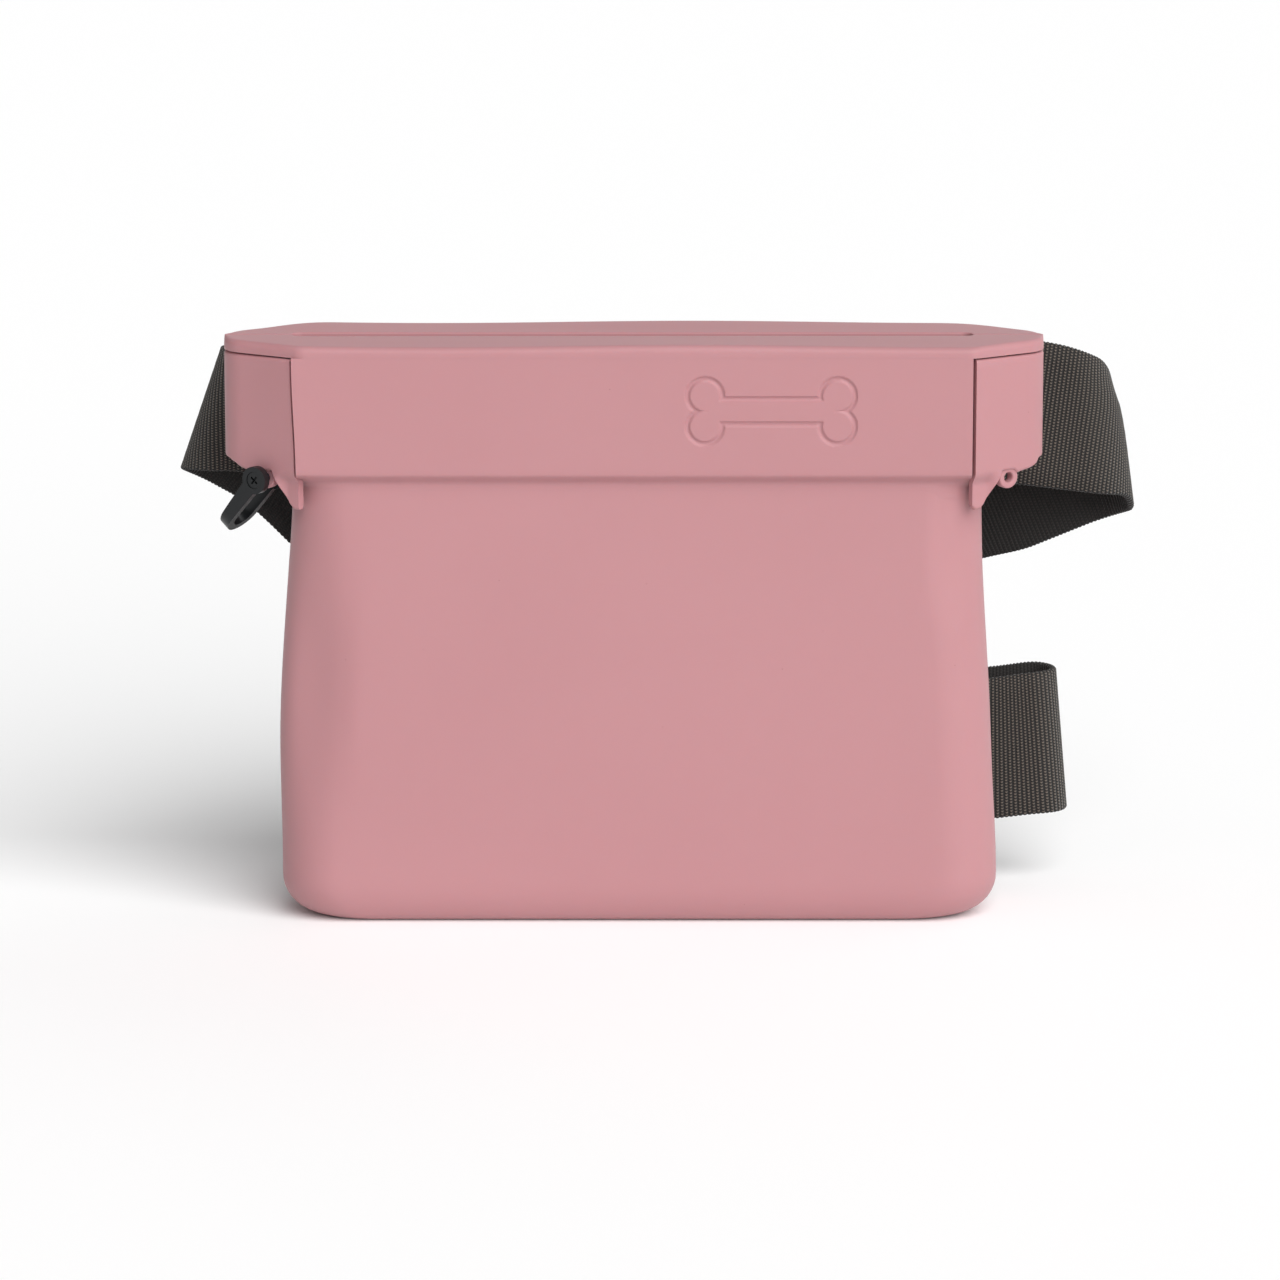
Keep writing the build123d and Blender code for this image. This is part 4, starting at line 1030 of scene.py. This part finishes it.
# painted shade: the pale flecks fade to a tenth on the inner face, so that face reads darker
painted_inner_shade = add(tree, "ShaderNodeMapRange", {"Value": split.outputs["Y"], "From Min": 0.475,
                                              "From Max": 0.485, "To Min": 1.0, "To Max": PAINTED_SHADE_INNER_FLECKS})
pale = add(tree, "ShaderNodeMath", {0: mask.outputs[0], 1: painted_inner_shade.outputs["Result"]},
           operation="MULTIPLY")
yarn = add(tree, "ShaderNodeMix", {"Factor": pale.outputs[0], "A": linear(WEBBING_DARK),
                                   "B": linear(WEBBING_PLY)}, data_type="RGBA")
relief = add(tree, "ShaderNodeMath", {0: crest_mask.outputs[0], 1: 1.0, 2: mask.outputs[0]},
             operation="MULTIPLY_ADD")
bump = add(tree, "ShaderNodeBump", {"Height": relief.outputs[0], "Strength": 0.6, "Distance": 0.00012})
cloth = add(tree, "ShaderNodeBsdfPrincipled", {
    "Base Color": yarn.outputs["Result"], "Roughness": 0.82,
    "Normal": bump.outputs["Normal"], "Sheen Weight": 0.2, "Sheen Roughness": 0.4, "IOR": 1.5})
tree.links.new(cloth.outputs["BSDF"], output.inputs["Surface"])
belt.data.materials.append(webbing)


# ---------------------------------------------------------------- buckle, keeper and shackle
# The side-release buckle and the tail's keeper are moulded acetal with a fine spark texture. The
# shackle and its screw are steel with a black satin coat. The magnets are nickel plated and hidden.

GLOSS_SPREAD = 0.06


def plain_material(name, colour, roughness, grain_size, grain_depth, shader):
    """A material of one pigment with a fine grain in its gloss and its surface.

    The grain's size and depth are in millimetres; shader holds the rest of the shader's inputs.
    """
    made, tree, output = new_material(name)
    place = add(tree, "ShaderNodeTexCoord").outputs["Object"]
    grain = add(tree, "ShaderNodeTexNoise", {"Vector": place, "Scale": 1000.0 / grain_size, "Detail": 3.0})
    gloss = add(tree, "ShaderNodeMapRange", {"Value": grain.outputs["Fac"],
                                             "To Min": roughness - GLOSS_SPREAD,
                                             "To Max": roughness + GLOSS_SPREAD})
    bump = add(tree, "ShaderNodeBump", {"Height": grain.outputs["Fac"], "Strength": 0.3,
                                        "Distance": grain_depth * 0.001})
    body = add(tree, "ShaderNodeBsdfPrincipled", {
        "Base Color": linear(colour), "Roughness": gloss.outputs["Result"],
        "Normal": bump.outputs["Normal"], **shader})
    tree.links.new(body.outputs["BSDF"], output.inputs["Surface"])
    return made


acetal = plain_material("acetal_spark_textured", "#1c1b1b", 0.42, 0.4, 0.03, {"IOR": 1.48})
black_metal = plain_material("steel_black_satin_coat", "#17191b", 0.34, 0.8, 0.01,
                             {"Metallic": 0.35, "IOR": 1.5})
nickel = plain_material("nickel_plate_dull", "#b9b4aa", 0.28, 0.3, 0.005, {"Metallic": 1.0})
finishes = {"buckle_socket": acetal, "buckle_plug": acetal, "upper_prong": acetal,
            "lower_prong": acetal, "tail_keeper": acetal,
            "shackle_bow": black_metal, "shackle_screw": black_metal}
for name, node in nodes.items():
    finish = nickel if name.endswith("magnet") else finishes.get(name)
    if finish:
        node.data.materials.clear()
        node.data.materials.append(finish)


# ---------------------------------------------------------------- the studio
# A white floor, a broad soft key from the front and right, and a weaker fill from behind and right.
# The world gives even light from all round, and the camera sees it paler than it lights.

FLOOR_HALF = 6.0
FLOOR_WHITE = "#fcfcfc"
floor_mesh = bpy.data.meshes.new("floor")
floor_mesh.from_pydata([(-FLOOR_HALF, -FLOOR_HALF, 0.0), (FLOOR_HALF, -FLOOR_HALF, 0.0),
                        (FLOOR_HALF, FLOOR_HALF, 0.0), (-FLOOR_HALF, FLOOR_HALF, 0.0)], [], [(0, 1, 2, 3)])
floor = bpy.data.objects.new("floor", floor_mesh)
bpy.context.scene.collection.objects.link(floor)
paper, tree, output = new_material("paper_sweep")
diffuse = add(tree, "ShaderNodeBsdfDiffuse", {"Color": linear(FLOOR_WHITE)})
tree.links.new(diffuse.outputs["BSDF"], output.inputs["Surface"])
floor_mesh.materials.append(paper)

WORLD_LIGHT = 0.25
WORLD_SEEN = 0.97
world = bpy.data.worlds.new("studio")
world.use_nodes = True
world.node_tree.nodes["Background"].inputs["Color"].default_value = (1.0, 1.0, 1.0, 1.0)
seen = add(world.node_tree, "ShaderNodeLightPath").outputs["Is Camera Ray"]
level = add(world.node_tree, "ShaderNodeMapRange", {"Value": seen, "To Min": WORLD_LIGHT,
                                                    "To Max": WORLD_SEEN})
world.node_tree.links.new(level.outputs["Result"], world.node_tree.nodes["Background"].inputs["Strength"])
bpy.context.scene.world = world


def soft_sun(name, towards, spread, strength):
    """A sun that shines from the direction towards, as wide as spread degrees, so even all over."""
    data = bpy.data.lights.new(name, "SUN")
    data.angle = np.radians(spread)
    data.energy = strength
    lamp = bpy.data.objects.new(name, data)
    lamp.rotation_euler = Vector(towards).to_track_quat("Z", "Y").to_euler()
    bpy.context.scene.collection.objects.link(lamp)
    return lamp


soft_sun("key", (0.46, -0.80, 0.70), 60.0, 3.6)
soft_sun("back_fill", (0.60, 0.78, 0.18), 90.0, 0.9)

CAMERA_SPOT = Vector((0.00076, -1.6, 0.4177))
CAMERA_AIM = Vector((0.00076, 0.0, 0.0708))
lens = bpy.data.cameras.new("camera")
lens.lens = 179.6
lens.sensor_width = 36.0
camera = bpy.data.objects.new("camera", lens)
camera.location = CAMERA_SPOT
camera.rotation_euler = (CAMERA_AIM - CAMERA_SPOT).to_track_quat("-Z", "Y").to_euler()
bpy.context.scene.collection.objects.link(camera)
bpy.context.scene.camera = camera
bpy.context.scene.view_settings.view_transform = "Standard"
